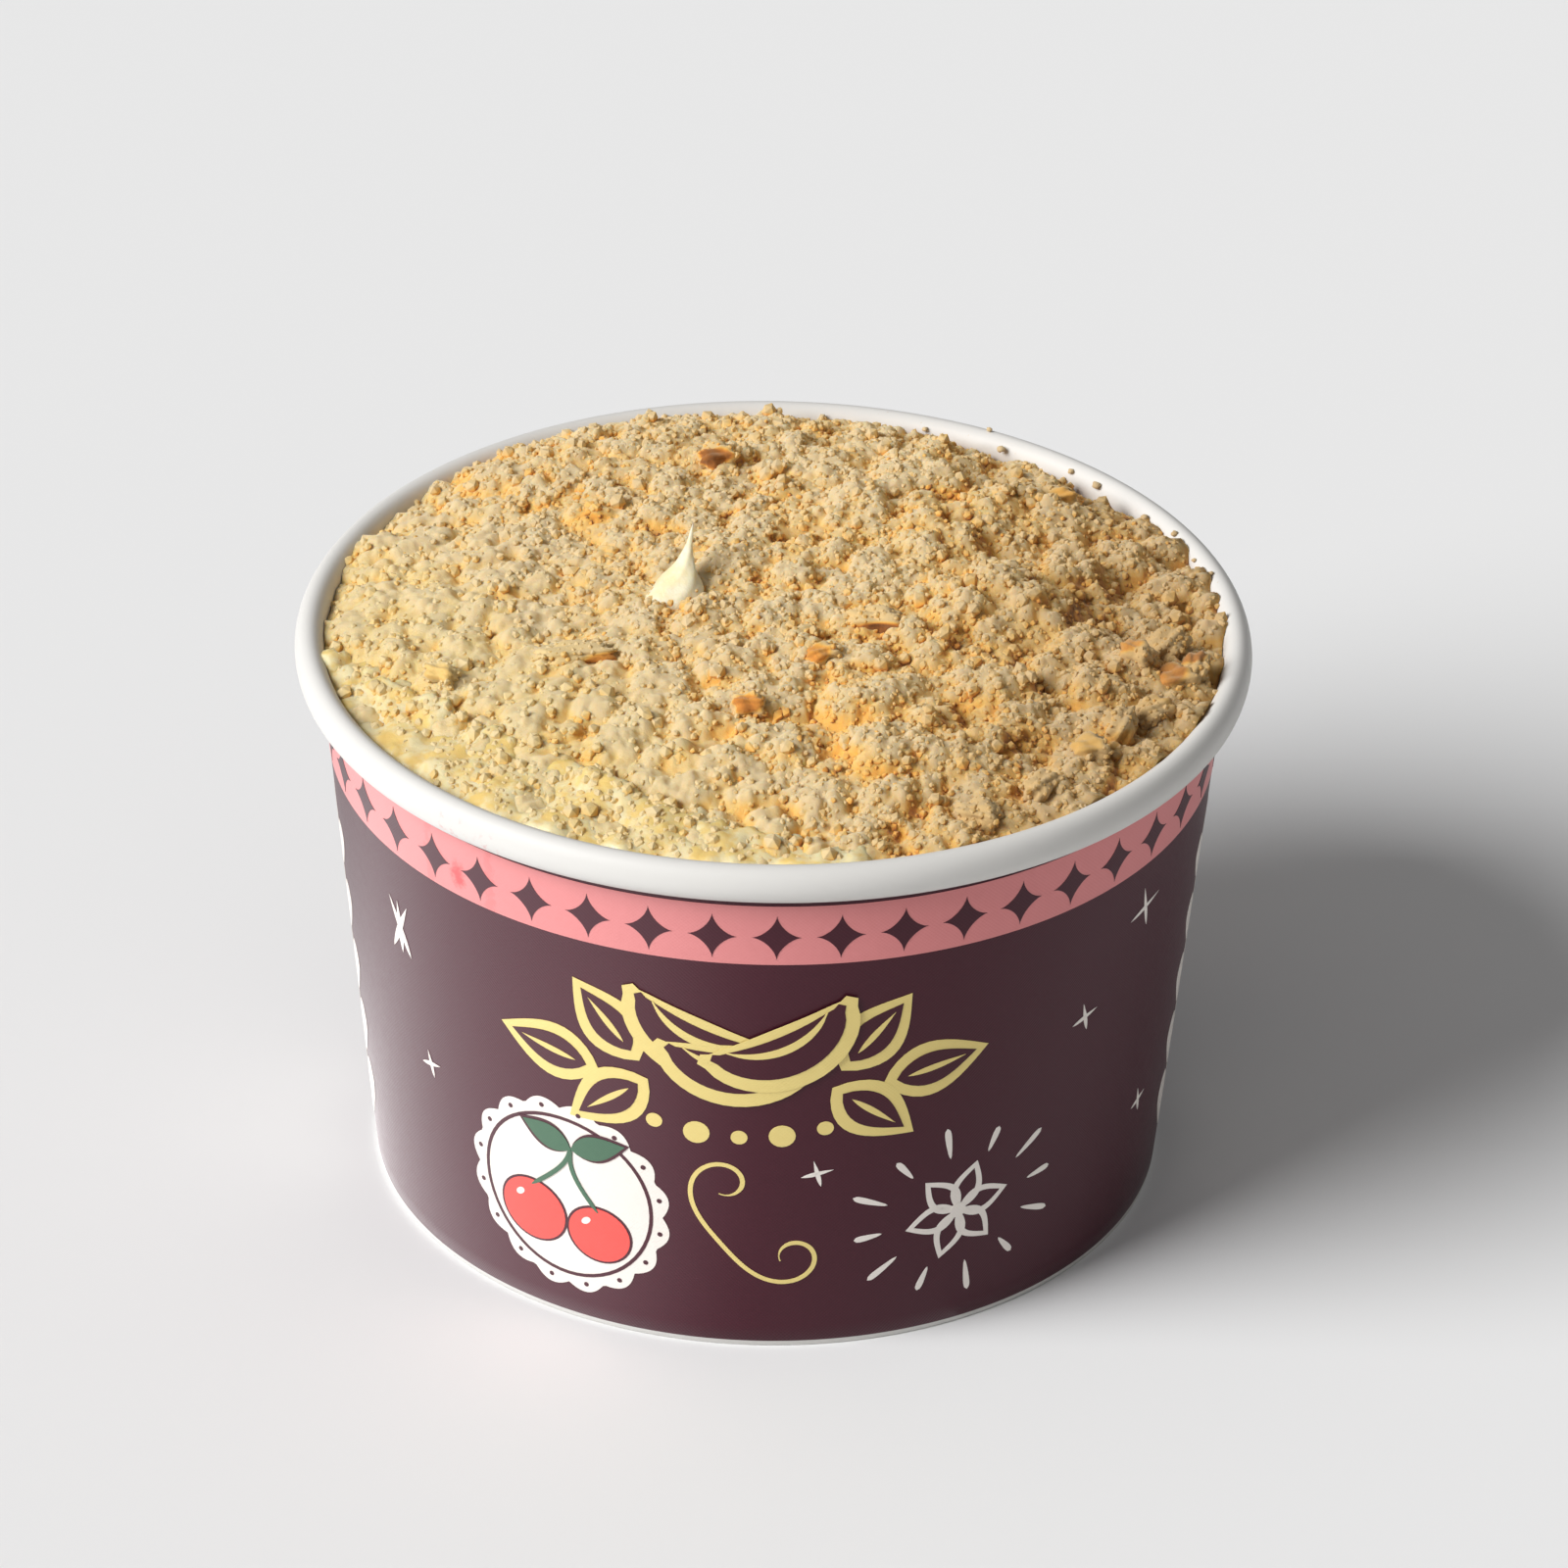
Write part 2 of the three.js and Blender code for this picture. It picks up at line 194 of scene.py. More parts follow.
class Shade:
    """One value of a node tree. Arithmetic adds its Math nodes, and node() adds any other node."""

    def __init__(self, tree, socket=None):
        self.tree = tree
        self.socket = socket

    def node(self, kind, settings=None, inputs=None, output=0):
        made = self.tree.nodes.new(kind)
        for name, value in (settings or {}).items():
            if name == "stops":
                self.set_stops(made.color_ramp, value)
            else:
                setattr(made, name, value)
        for name, value in (inputs or {}).items():
            if isinstance(value, Shade):
                self.tree.links.new(value.socket, made.inputs[name])
            else:
                made.inputs[name].default_value = value
        return Shade(self.tree, made.outputs[output])

    @staticmethod
    def set_stops(ramp, stops):
        while len(ramp.elements) < len(stops):
            ramp.elements.new(1.0)
        for element, (place, colour) in zip(ramp.elements, stops):
            element.position = place
            element.color = (*colour, 1)

    def other(self, output):
        """Another output of the node that this value comes from."""
        return Shade(self.tree, self.socket.node.outputs[output])

    def math(self, operation, *terms):
        return self.node("ShaderNodeMath", {"operation": operation}, dict(enumerate(terms)))

    def __add__(self, other):
        return self.math("ADD", self, other)

    def __radd__(self, other):
        return self.math("ADD", other, self)

    def __sub__(self, other):
        return self.math("SUBTRACT", self, other)

    def __rsub__(self, other):
        return self.math("SUBTRACT", other, self)

    def __mul__(self, other):
        return self.math("MULTIPLY", self, other)

    def __rmul__(self, other):
        return self.math("MULTIPLY", other, self)

    def __truediv__(self, other):
        return self.math("DIVIDE", self, other)

    def __rtruediv__(self, other):
        return self.math("DIVIDE", other, self)

    def __pow__(self, other):
        return self.math("POWER", self, other)

    def __abs__(self):
        return self.math("ABSOLUTE", self)

    def sin(self):
        return self.math("SINE", self)

    def step(self, low, high):
        """0 below low, 1 above high, and a smooth rise between them. It falls where low is over high."""
        ends = (low, high, 0.0, 1.0) if low < high else (high, low, 1.0, 0.0)
        names = ("From Min", "From Max", "To Min", "To Max")
        values = {"Value": self, **dict(zip(names, ends))}
        return self.node("ShaderNodeMapRange", {"interpolation_type": "SMOOTHSTEP"}, values)

    def mix(self, under, over):
        """The colour under where this mask is 0, and over where it is 1."""
        ends = {0: self}
        for index, colour in ((6, under), (7, over)):
            ends[index] = colour if isinstance(colour, Shade) else (*colour, 1)
        return self.node("ShaderNodeMix", {"data_type": "RGBA"}, ends, output=2)

    def place(self):
        """The point's own x, y and z in millimetres."""
        at = self.node("ShaderNodeTexCoord", output="Object")
        scaled = self.node("ShaderNodeVectorMath", {"operation": "SCALE"}, {0: at, "Scale": 1 / MM})
        x = self.node("ShaderNodeSeparateXYZ", inputs={0: scaled})
        return scaled, x, x.other("Y"), x.other("Z")

    def noise(self, at, size, detail=2.0, roughness=0.5):
        """Soft noise from 0 to 1, whose blotches measure about size."""
        values = {"Vector": at, "Scale": 1 / size, "Detail": detail, "Roughness": roughness}
        return self.node("ShaderNodeTexNoise", inputs=values)

    def bump(self, depth_mm):
        """A normal from this value as a height, of depth_mm at 1."""
        values = {"Height": self, "Distance": depth_mm * MM, "Strength": 1.0}
        return self.node("ShaderNodeBump", inputs=values)


def material(name, look, **constants):
    """A material: the constants are set on the surface itself, and look gives what varies over it."""
    made = bpy.data.materials.new(name)
    made.use_nodes = True
    surface = made.node_tree.nodes["Principled BSDF"]
    for socket, value in constants.items():
        surface.inputs[socket.replace("_", " ")].default_value = value
    for socket, value in look(Shade(made.node_tree)).items():
        made.node_tree.links.new(value.socket, surface.inputs[socket])
    return made


PLUM = (0.052, 0.0075, 0.016)
PLUM_LIGHT = (0.066, 0.010, 0.020)
WHITE_BOARD = (0.655, 0.64, 0.612)
BERRY_STAIN = (0.62, 0.16, 0.15)
BISCUIT_DUST = (0.55, 0.42, 0.25)
LINEN_PITCH = 0.42
STAIN_SPOTS = [(-31.6, -37.0, 57.9, 3.0), (-27.6, -40.2, 57.3, 2.6)]


def around_wall(shade, x, y):
    """How far round the wall from the front a point lies, in millimetres."""
    return shade.math("ARCTAN2", x, y * -1.0) * WRAP_RADIUS


def linen(around, z):
    """The faint woven grain pressed into the board."""
    turns = 2 * math.pi / LINEN_PITCH
    return (around * turns).sin() * (z * turns).sin()


def printed_board(shade):
    at, x, y, z = shade.place()
    radius = (x * x + y * y) ** 0.5
    around = around_wall(shade, x, y)
    outside = (radius - z * WALL_FLARE - (FOOT_RADIUS - 0.25)).step(0, 0.05)
    printed = outside * z.step(BARE_EDGE - 0.04, BARE_EDGE + 0.04)
    printed = printed * z.step(PRINT_TOP + 0.05, PRINT_TOP - 0.05)
    from_seam = abs(around - math.radians(SEAM_AT) * WRAP_RADIUS)
    printed = printed * from_seam.step(0.1, 0.16)
    grain = linen(around, z)
    mottle = shade.noise(at, 0.9, 3.0, 0.6)
    plum = (mottle * 0.5 + grain * 0.12 + 0.2).mix(PLUM, PLUM_LIGHT)
    stain = shade.noise(at, 1.1, 3.0, 0.7).step(0.55, 0.68)
    near = None
    for sx, sy, sz, reach in STAIN_SPOTS:
        away = ((x - sx) ** 2.0 + (y - sy) ** 2.0 + (z - sz) ** 2.0) ** 0.5
        spot = away.step(reach, reach * 0.3)
        near = spot if near is None else near + spot
    board = (stain * near * 0.35).mix(WHITE_BOARD, BERRY_STAIN)
    dust = shade.noise(at, 0.5, 2.0, 0.5).step(0.72, 0.78) * z.step(59.0, 60.0) * y.step(-5.0, 20.0)
    board = (dust * 0.5).mix(board, BISCUIT_DUST)
    fibres = shade.noise(at, 0.25, 3.0, 0.6)
    height = fibres * 0.5 + grain * printed * 0.5
    return {
        "Base Color": printed.mix(board, plum),
        "Roughness": 0.42 - printed * 0.10 + mottle * 0.08,
        "Normal": height.bump(0.012),
    }


PRINTED_BOARD = material("coated_board", printed_board, IOR=1.3)


def seam_swell(azimuth, row):
    """The lapped edge lies on the wall at the seam and thins out round it; only the outer face shows it."""
    lap = (azimuth - SEAM_AT) % 360
    if row not in OUTER_ROWS or lap > SEAM_LAP:
        return 0
    return SEAM_STEP * (1 - lap / SEAM_LAP) ** 0.7


outer_heights = np.linspace(0, 56.6, 24)
wall_section = [(wall_inside(0) - HEM_SLOT - BOARD + 0.15, 0.0), (FOOT_RADIUS - 0.12, 0.0)]
wall_section += [(wall_outside(h), max(h, 0.12)) for h in outer_heights]
OUTER_ROWS = set(range(1, len(wall_section)))
roll_at = (ROLL_RADIUS, ROLL_CENTRE)
roll_inner = (ROLL_WIDTH / 2 - BOARD, ROLL_HEIGHT / 2 - BOARD)
wall_section += arc(roll_at, roll_inner, 180, ROLL_TUCKED_AT, 30)
wall_section += arc(roll_at, (ROLL_WIDTH / 2, ROLL_HEIGHT / 2), ROLL_TUCKED_AT, 180, 44)
wall_section += [(wall_inside(h), h) for h in np.linspace(56, BOARD, 12)]
hem_top = wall_inside(HEM_HEIGHT) - HEM_SLOT
wall_section += [(wall_inside(BOARD) - HEM_SLOT, BOARD), (hem_top, HEM_HEIGHT)]
wall_section += [(hem_top - BOARD, HEM_HEIGHT), (wall_inside(0.2) - HEM_SLOT - BOARD, 0.2)]
wall_azimuths = sorted({*np.arange(0, 360, 1.5), SEAM_AT - 0.02, SEAM_AT + 0.25, SEAM_AT + SEAM_LAP})
sidewall = new_piece("sidewall", *revolve(wall_section, wall_azimuths, seam_swell), [PRINTED_BOARD])
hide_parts("cup_sidewall")
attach(sidewall, "root")

# ---------------------------------------------------------------------------
# A bounce card for the set, flat on the floor at the cup's left. Only glossy
# rays meet it: it lays the pale sheen down the left of the varnished wall.
# ---------------------------------------------------------------------------
CARD_FROM, CARD_FULL = math.radians(0), math.radians(-32)
CARD_FADES, CARD_TO = math.radians(-88), math.radians(-132)
CARD_REACH = (110.0, 200.0)
CARD_GLOW = 2.0
CARD_SIDES = (-0.26, 0.02)
CARD_ENDS = (-0.26, 0.14)
CARD_LEVEL = 0.0002


def card_glow(shade):
    at, x, y, z = shade.place()
    turn = shade.math("ARCTAN2", x, y * -1.0)
    away = (x * x + y * y) ** 0.5
    lit = turn.step(CARD_FROM, CARD_FULL) * turn.step(CARD_TO, CARD_FADES)
    lit = lit * away.step(CARD_REACH[1], CARD_REACH[0])
    glow = lit * CARD_GLOW + FLOOR_GREY
    return {"Emission Color": shade.node("ShaderNodeCombineColor", inputs={0: glow, 1: glow, 2: glow})}


card_finish = material("bounce_card", card_glow, Base_Color=(0, 0, 0, 1), Emission_Strength=1.0)
card = sheet("bounce_card", CARD_SIDES, CARD_ENDS, CARD_LEVEL, card_finish)
card.visible_camera = False
card.visible_diffuse = False
card.visible_shadow = False
card.visible_transmission = False

# ---------------------------------------------------------------------------
# The bottom disc: white uncoated board, its skirt glued between the wall and
# the hem. It sags a little in the middle and has a pressed ring near its edge.
# ---------------------------------------------------------------------------
DISC_TOP = 7.2
GAP = 0.3
DISC_RING_AT = 34.0
DISC_RING_DEPTH = 0.25
DISC_SAG = 0.3
RAW_BOARD = (0.74, 0.72, 0.68)
RAW_BOARD_PALE = (0.80, 0.78, 0.75)


def bare_board(shade):
    at, x, y, z = shade.place()
    fibres = shade.noise(at, 0.35, 4.0, 0.65)
    cloud = shade.noise(at, 6.0, 2.0, 0.5)
    colour = (fibres * 0.5 + cloud * 0.5).mix(RAW_BOARD, RAW_BOARD_PALE)
    return {"Base Color": colour, "Roughness": 0.7 + fibres * 0.15, "Normal": fibres.bump(0.02)}


BARE_BOARD = material("bare_board", bare_board)


def disc_level(radius, face):
    ring = DISC_RING_DEPTH * math.exp(-(((radius - DISC_RING_AT) / 0.8) ** 2))
    sag = DISC_SAG * (1 - (radius / 40.0) ** 2)
    return face - ring - sag


disc_radii = np.linspace(1.5, 39.6, 40)
skirt = [(wall_inside(h) - GAP, h) for h in (BOARD + GAP, 4.0, DISC_TOP - 0.3)]
disc_section = [(0, disc_level(0, DISC_TOP - BOARD))]
disc_section += [(r, disc_level(r, DISC_TOP - BOARD)) for r in disc_radii]
disc_section += [(radius - BOARD, height) for radius, height in reversed(skirt)] + skirt
disc_section += [(wall_inside(DISC_TOP) - GAP - 0.2, DISC_TOP)]
disc_section += [(r, disc_level(r, DISC_TOP)) for r in reversed(disc_radii)]
disc_section += [(0, disc_level(0, DISC_TOP))]
bottom_disc = new_piece("bottom_disc", *revolve(disc_section, np.arange(0, 360, 2.5)), [BARE_BOARD])
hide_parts("cup_base")
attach(bottom_disc, "root")

# ---------------------------------------------------------------------------
# The print: flat inks a few hundredths of a millimetre thick on the wall.
# Each is drawn flat, as outlines in millimetres round and up the wall, and
# then wrapped on it. All of it is generic fruit, leaf and star ornament.
# ---------------------------------------------------------------------------
INK_STEP = 0.035
INK_MESH = 1.3


def on_wall(around, height, layer):
    """A point of the flat drawing, wrapped on the wall, layer inks high."""
    radius = wall_outside(height) + 0.01 + INK_STEP * layer
    turn = around / WRAP_RADIUS
    return (radius * np.sin(turn), -radius * np.cos(turn), height)


def inside(points, outlines):
    """Which points lie inside an odd number of the outlines."""
    hits = np.zeros(len(points), bool)
    for outline in outlines:
        x0, y0 = outline[:, 0], outline[:, 1]
        x1, y1 = np.roll(x0, -1), np.roll(y0, -1)
        px, py = points[:, :1], points[:, 1:]
        crosses = (y0 > py) != (y1 > py)
        rise = np.where(y1 == y0, 1e-12, y1 - y0)
        hits ^= (crosses & (px < (x1 - x0) * (py - y0) / rise + x0)).sum(axis=1) % 2 == 1
    return hits


def inked(outlines, layer):
    """The closed thin film of one inked shape: holes are outlines inside outlines."""
    outlines = [np.asarray(outline, float) for outline in outlines]
    points, edges = [], []
    for outline in outlines:
        first = len(points)
        points += [Vector(p) for p in outline]
        edges += [(first + k, first + (k + 1) % len(outline)) for k in range(len(outline))]
    every = np.concatenate(outlines)
    low, high = every.min(axis=0), every.max(axis=0)
    columns = np.arange(low[0], high[0], INK_MESH) + 0.31
    rows = np.arange(low[1], high[1], INK_MESH) + 0.27
    grid = np.stack(np.meshgrid(columns, rows), axis=-1).reshape(-1, 2)
    if len(grid):
        points += [Vector(p) for p in grid[inside(grid, outlines)]]
    made = delaunay_2d_cdt(points, edges, [], 0, 1e-6)
    flat = np.array([tuple(p) for p in made[0]])
    triangles = np.array(made[2])
    kept = triangles[inside(flat[triangles].mean(axis=1), outlines)]
    used, kept = np.unique(kept, return_inverse=True)
    kept = kept.reshape(-1, 3)
    flat = flat[used]
    a, b, c = (flat[kept[:, k]] for k in range(3))
    turned = (b - a)[:, 0] * (c - a)[:, 1] - (b - a)[:, 1] * (c - a)[:, 0] < 0
    kept[turned] = kept[turned][:, ::-1]
    count = len(flat)
    top = np.stack(on_wall(flat[:, 0], flat[:, 1], layer), axis=1)
    under = np.stack(on_wall(flat[:, 0], flat[:, 1], layer - 1), axis=1)
    sides = {}
    for face in kept:
        for k in range(3):
            edge = (int(face[k]), int(face[(k + 1) % 3]))
            if edge[::-1] in sides:
                del sides[edge[::-1]]
            else:
                sides[edge] = True
    faces = [tuple(map(int, face)) for face in kept]
    faces += [tuple(int(v) + count for v in face[::-1]) for face in kept]
    faces += [(b, a, a + count, b + count) for a, b in sides]
    return np.concatenate([top, under]), faces


def ink_piece(name, drawings, ink):
    """One object of many inked shapes, each a (list of outlines, layer)."""
    vertices, faces = [], []
    for outlines, layer in drawings:
        points, sheets = inked(outlines, layer)
        first = sum(len(v) for v in vertices)
        vertices.append(points)
        faces += [tuple(v + first for v in face) for face in sheets]
    piece = new_piece(name, np.concatenate(vertices), faces, [ink], crisp=True)
    return piece


def ink_grain(shade):
    """The point, the linen and the mottle, which every ink shows."""
    at, x, y, z = shade.place()
    return at, x, y, z, linen(around_wall(shade, x, y), z), shade.noise(at, 0.7, 3.0, 0.6)


def ink_surface(colour, grain, mottle):
    return {
        "Base Color": colour,
        "Roughness": 0.32 + mottle * 0.08,
        "Normal": (grain * 0.5 + mottle * 0.3).bump(0.010),
    }


def ink_look(colour, deep):
    """Ink on grained board: a trace of the linen and a little unevenness in its depth."""

    def look(shade):
        at, x, y, z, grain, mottle = ink_grain(shade)
        return ink_surface((mottle * 0.7 + grain * 0.1).mix(deep, colour), grain, mottle)

    return look


PINK = (0.74, 0.265, 0.265)
PINK_DEEP = (0.70, 0.235, 0.235)
SMEAR_RED = (0.70, 0.075, 0.08)
SMEAR_AT = (-30.6, -33.2, 50.6)


def band_look(shade):
    """The pink ink with the berry smear that was wiped across it."""
    at, x, y, z, grain, mottle = ink_grain(shade)
    sx, sy, sz = SMEAR_AT
    along = ((x - sx) ** 2.0 + (y - sy) ** 2.0) ** 0.5
    away = (along**2.0 * 1.4 + (z - sz) ** 2.0 * 0.5) ** 0.5
    ragged = shade.noise(at, 0.8, 4.0, 0.7)
    smear = (away + ragged * 2.2).step(2.6, 1.5)
    trace = (abs(along - 4.2) + ragged * 3.0).step(2.3, 1.7) * 0.4
    pink = (mottle * 0.7 + grain * 0.1).mix(PINK_DEEP, PINK)
    return ink_surface((smear * 0.85 + trace * 0.5).mix(pink, SMEAR_RED), grain, mottle)


INK_FINISH = dict(IOR=1.3)
PINK_INK = material("pink_ink", band_look, **INK_FINISH)
PLUM_INK = material("plum_ink", ink_look(PLUM_LIGHT, PLUM), **INK_FINISH)
YELLOW_INK = material("yellow_ink", ink_look((0.80, 0.65, 0.245), (0.76, 0.60, 0.21)), **INK_FINISH)
CREAM_INK = material("cream_ink", ink_look((0.86, 0.80, 0.745), (0.82, 0.76, 0.70)), **INK_FINISH)
RED_INK = material("red_ink", ink_look((0.84, 0.10, 0.085), (0.80, 0.085, 0.07)), **INK_FINISH)
GREEN_INK = material("green_ink", ink_look((0.065, 0.145, 0.085), (0.05, 0.12, 0.07)), **INK_FINISH)

BAND_LOW = 48.15
BAND_HIGH = 55.25
STAR_COUNT = 45
STAR_HEIGHT = 51.45
STAR_HALF = (2.3, 2.65)
STAR_POWER = 0.66
STAR_SHIFT = 0.75


def star_outline(centre, half, power, count):
    """A four-pointed star with hollow sides."""
    turns = np.linspace(0, 2 * np.pi, count, endpoint=False)
    c, s = np.cos(turns), np.sin(turns)
    x = half[0] * np.sign(c) * np.abs(c) ** (2 / power)
    y = half[1] * np.sign(s) * np.abs(s) ** (2 / power)
    return np.stack([centre[0] + x, centre[1] + y], axis=1)


band_heights = np.linspace(BAND_LOW, BAND_HIGH, 4)
band_section = [(wall_outside(h) + 0.01 + INK_STEP, h) for h in band_heights]
band_section += [(wall_outside(h) + 0.01, h) for h in band_heights[::-1]]
band = new_piece("pink_band", *revolve(band_section, np.arange(0, 360, 1.5)), [PINK_INK], crisp=True)
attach(band, "root")


def tree_with(name, numbers):
    """A Geometry Nodes tree that takes a mesh, a material and named numbers, and gives a mesh."""
    tree = bpy.data.node_groups.new(name, "GeometryNodeTree")
    tree.interface.new_socket("Geometry", in_out="INPUT", socket_type="NodeSocketGeometry")
    tree.interface.new_socket("Geometry", in_out="OUTPUT", socket_type="NodeSocketGeometry")
    tree.interface.new_socket("Material", in_out="INPUT", socket_type="NodeSocketMaterial")
    for label, kind in numbers.items():
        tree.interface.new_socket(label, in_out="INPUT", socket_type=f"NodeSocket{kind}")
    source = tree.nodes.new("NodeGroupInput")
    return tree, {socket.name: Shade(tree, socket) for socket in source.outputs if socket.name}


def end_tree(tree, shape, finish):
    """Makes the copies real, gives them their material and ends the tree."""
    real = shape.node("GeometryNodeRealizeInstances", inputs={0: shape})
    done = real.node("GeometryNodeSetMaterial", inputs={"Geometry": real, "Material": finish})
    tree.links.new(done.socket, tree.nodes.new("NodeGroupOutput").inputs[0])


def grown(name, seed_piece, tree, values):
    """The plain mesh that a tree makes of a piece."""
    modifier = seed_piece.modifiers.new("grow", "NODES")
    modifier.node_group = tree
    for item in tree.interface.items_tree:
        if item.name in values:
            modifier[item.identifier] = values[item.name]
    bpy.context.view_layer.update()
    evaluated = seed_piece.evaluated_get(bpy.context.evaluated_depsgraph_get())
    mesh = bpy.data.meshes.new_from_object(evaluated)
    seed_piece.modifiers.remove(modifier)
    mesh.name = name
    return placed(name, mesh)


ring_tree, ring_in = tree_with("ring_of_copies", {"Count": "Int"})
ring_points = ring_in["Count"].node("GeometryNodePoints", inputs={"Count": ring_in["Count"]})
ring_index = ring_points.node("GeometryNodeInputIndex")
ring_turn = ring_index * (2 * math.pi / ring_in["Count"])
ring_spin = ring_turn.node("ShaderNodeCombineXYZ", inputs={"Z": ring_turn})
ring_copies = ring_points.node(
    "GeometryNodeInstanceOnPoints",
    inputs={"Points": ring_points, "Instance": ring_in["Geometry"], "Rotation": ring_spin},
)
end_tree(ring_tree, ring_copies, ring_in["Material"])

star = star_outline((STAR_SHIFT, STAR_HEIGHT), STAR_HALF, STAR_POWER, 48)
one_star = ink_piece("one_star", [([star], 2)], PLUM_INK)
stars = grown("band_stars", one_star, ring_tree, {"Count": STAR_COUNT, "Material": PLUM_INK})
bpy.data.objects.remove(one_star)
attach(stars, "root")


def moved(outline, centre, turn_deg=0.0):
    turn = math.radians(turn_deg)
    x, y = np.asarray(outline, float).T
    out_x = centre[0] + x * math.cos(turn) - y * math.sin(turn)
    out_y = centre[1] + x * math.sin(turn) + y * math.cos(turn)
    return np.stack([out_x, out_y], axis=1)


def disc(radius, count, squash=1.0):
    turns = np.linspace(0, 2 * np.pi, count, endpoint=False)
    return np.stack([radius * np.cos(turns), radius * squash * np.sin(turns)], axis=1)


def both_sides(along, half):
    """The closed outline of a shape that is alike above and below its axis."""
    upper = np.stack([along, half], axis=1)
    return np.concatenate([upper, upper[-2:0:-1] * (1, -1)])


def leaf(length, width, count=14):
    """A leaf from the origin along +x, pointed at both ends."""
    along = np.linspace(0, 1, count)
    return both_sides(along * length, width / 2 * np.sin(np.pi * along**0.8))


def drop(length, width, count=14):
    """A dash that is pointed at the origin and round at its far end."""
    along = np.linspace(0, 1, count)
    half = width / 2 * np.sqrt(np.clip(along * (1 - along**6), 0, 1)) * 1.1
    return both_sides(along * length, half)


def ribbon(path, width):
    """A line of even width along a smooth path, tapered at both ends."""
    path = np.asarray(path, float)
    way = np.gradient(path, axis=0)
    way /= np.linalg.norm(way, axis=1)[:, None]
    side = np.stack([-way[:, 1], way[:, 0]], axis=1)
    share = np.linspace(0, 1, len(path))
    half = width / 2 * np.clip(np.minimum(share, 1 - share) * 14, 0.25, 1)[:, None]
    return np.concatenate([path + side * half, (path - side * half)[::-1]])


def at_degrees(azimuth, height):
    return (math.radians(azimuth) * WRAP_RADIUS, height)


# A garland in plum with a broad yellow edge, at the front: a bunch of bananas between leaves.
GARLAND_AT = at_degrees(-3.5, 35.5)
GARLAND_EDGE = 1.35
BANANA_LENGTH = 15.5
BANANA_WIDTH = 4.9
# How far out and up each leaf of a side starts, its lean and its length.
GARLAND_LEAVES = [(15.6, -2.6, 12, 8.6), (10.8, 0.4, 52, 8.2), (10.2, -3.6, -38, 8.2)]
# The turn of each banana, and its place in the bunch.
BUNCH = [(-24, (-4.6, 2.4)), (2, (0.0, -0.6)), (28, (4.8, 1.9))]


def banana(length, width, bend=1.5, count=22):
    """A crescent with a blunt stalk at one end and a small tip at the other."""
    share = np.linspace(0, 1, count)
    sweep = (share - 0.5) * bend
    radius = length / bend
    centre = np.stack([radius * np.sin(sweep), radius * (1 - np.cos(sweep))], axis=1)
    outward = np.stack([np.sin(sweep), -np.cos(sweep)], axis=1)
    body = np.clip(np.sin(np.pi * np.clip(share * 1.04 - 0.02, 0, 1)), 0, 1) ** 0.6
    half = (width / 2 * np.clip(body, 0.16, 1))[:, None]
    return np.concatenate([centre + outward * half * 1.1, (centre - outward * half * 0.9)[::-1]])


yellow, plum_over, cream, red, green = [], [], [], [], []


def draw(ink, layer, outline, spot, turn_deg=0.0):
    """Lays an outline in one of the inks, layer inks above the wall."""
    ink.append(([moved(outline, spot, turn_deg)], layer))


def edged(shape, size, at, turn, level):
    """A plum shape with a yellow edge, level inks above the wall."""
    length, width = size
    spot = (GARLAND_AT[0] + at[0], GARLAND_AT[1] + at[1])
    wider = shape(length + 2 * GARLAND_EDGE, width + 2 * GARLAND_EDGE)
    back = (-GARLAND_EDGE, 0) if shape is leaf else (0, -0.15)
    draw(yellow, level, wider + back, spot, turn)
    draw(plum_over, level + 1, shape(length, width), spot, turn)


for side in (-1, 1):
    for k, (reach, up, lean, length) in enumerate(GARLAND_LEAVES):
        turn = lean if side > 0 else 180 - lean
        edged(leaf, (length, 4.0), (side * reach, up), turn, 1 + 0.25 * k)
        spot = (GARLAND_AT[0] + side * reach, GARLAND_AT[1] + up)
        draw(yellow, 3, leaf(length - 2.4, 0.7) + (1.2, 0), spot, turn)
for k, (turn, shift) in enumerate(BUNCH):
    edged(banana, (BANANA_LENGTH, BANANA_WIDTH), shift, turn, 3.5 + 2 * k)
    middle = (GARLAND_AT[0] + shift[0], GARLAND_AT[1] + shift[1])
    ridge = banana(BANANA_LENGTH - 3.6, 0.9)
    draw(yellow, 5.5 + 2 * k, ridge + (0, 0.55), middle, turn)
for k in range(7):
    spot = (GARLAND_AT[0] + (k - 3) * 4.3, GARLAND_AT[1] - 8.9 + 0.28 * (k - 3) ** 2)
    draw(yellow, 1, disc(0.85 if k % 2 else 1.35, 20), spot)

# Two cherries with leaves on a white scalloped mat, at the lower left.
MAT_AT = at_degrees(-28.5, 15.4)
MAT_RADIUS = 11.0
SCALLOPS = 16
turns = np.linspace(0, 2 * np.pi, 168, endpoint=False)
scallop = MAT_RADIUS + 0.9 * np.abs(np.sin(turns * SCALLOPS / 2))
mat = np.stack([scallop * np.cos(turns), scallop * np.sin(turns)], axis=1)
draw(cream, 1, mat, MAT_AT)
ring = [moved(disc(MAT_RADIUS - inset, 60), MAT_AT) for inset in (1.0, 1.4)]
plum_over.append((ring, 2))
for k in range(SCALLOPS):
    turn = 2 * math.pi * (k + 0.5) / SCALLOPS
    reach = MAT_RADIUS - 0.1
    spot = (MAT_AT[0] + reach * math.cos(turn), MAT_AT[1] + reach * math.sin(turn))
    draw(plum_over, 2, disc(0.28, 12), spot)
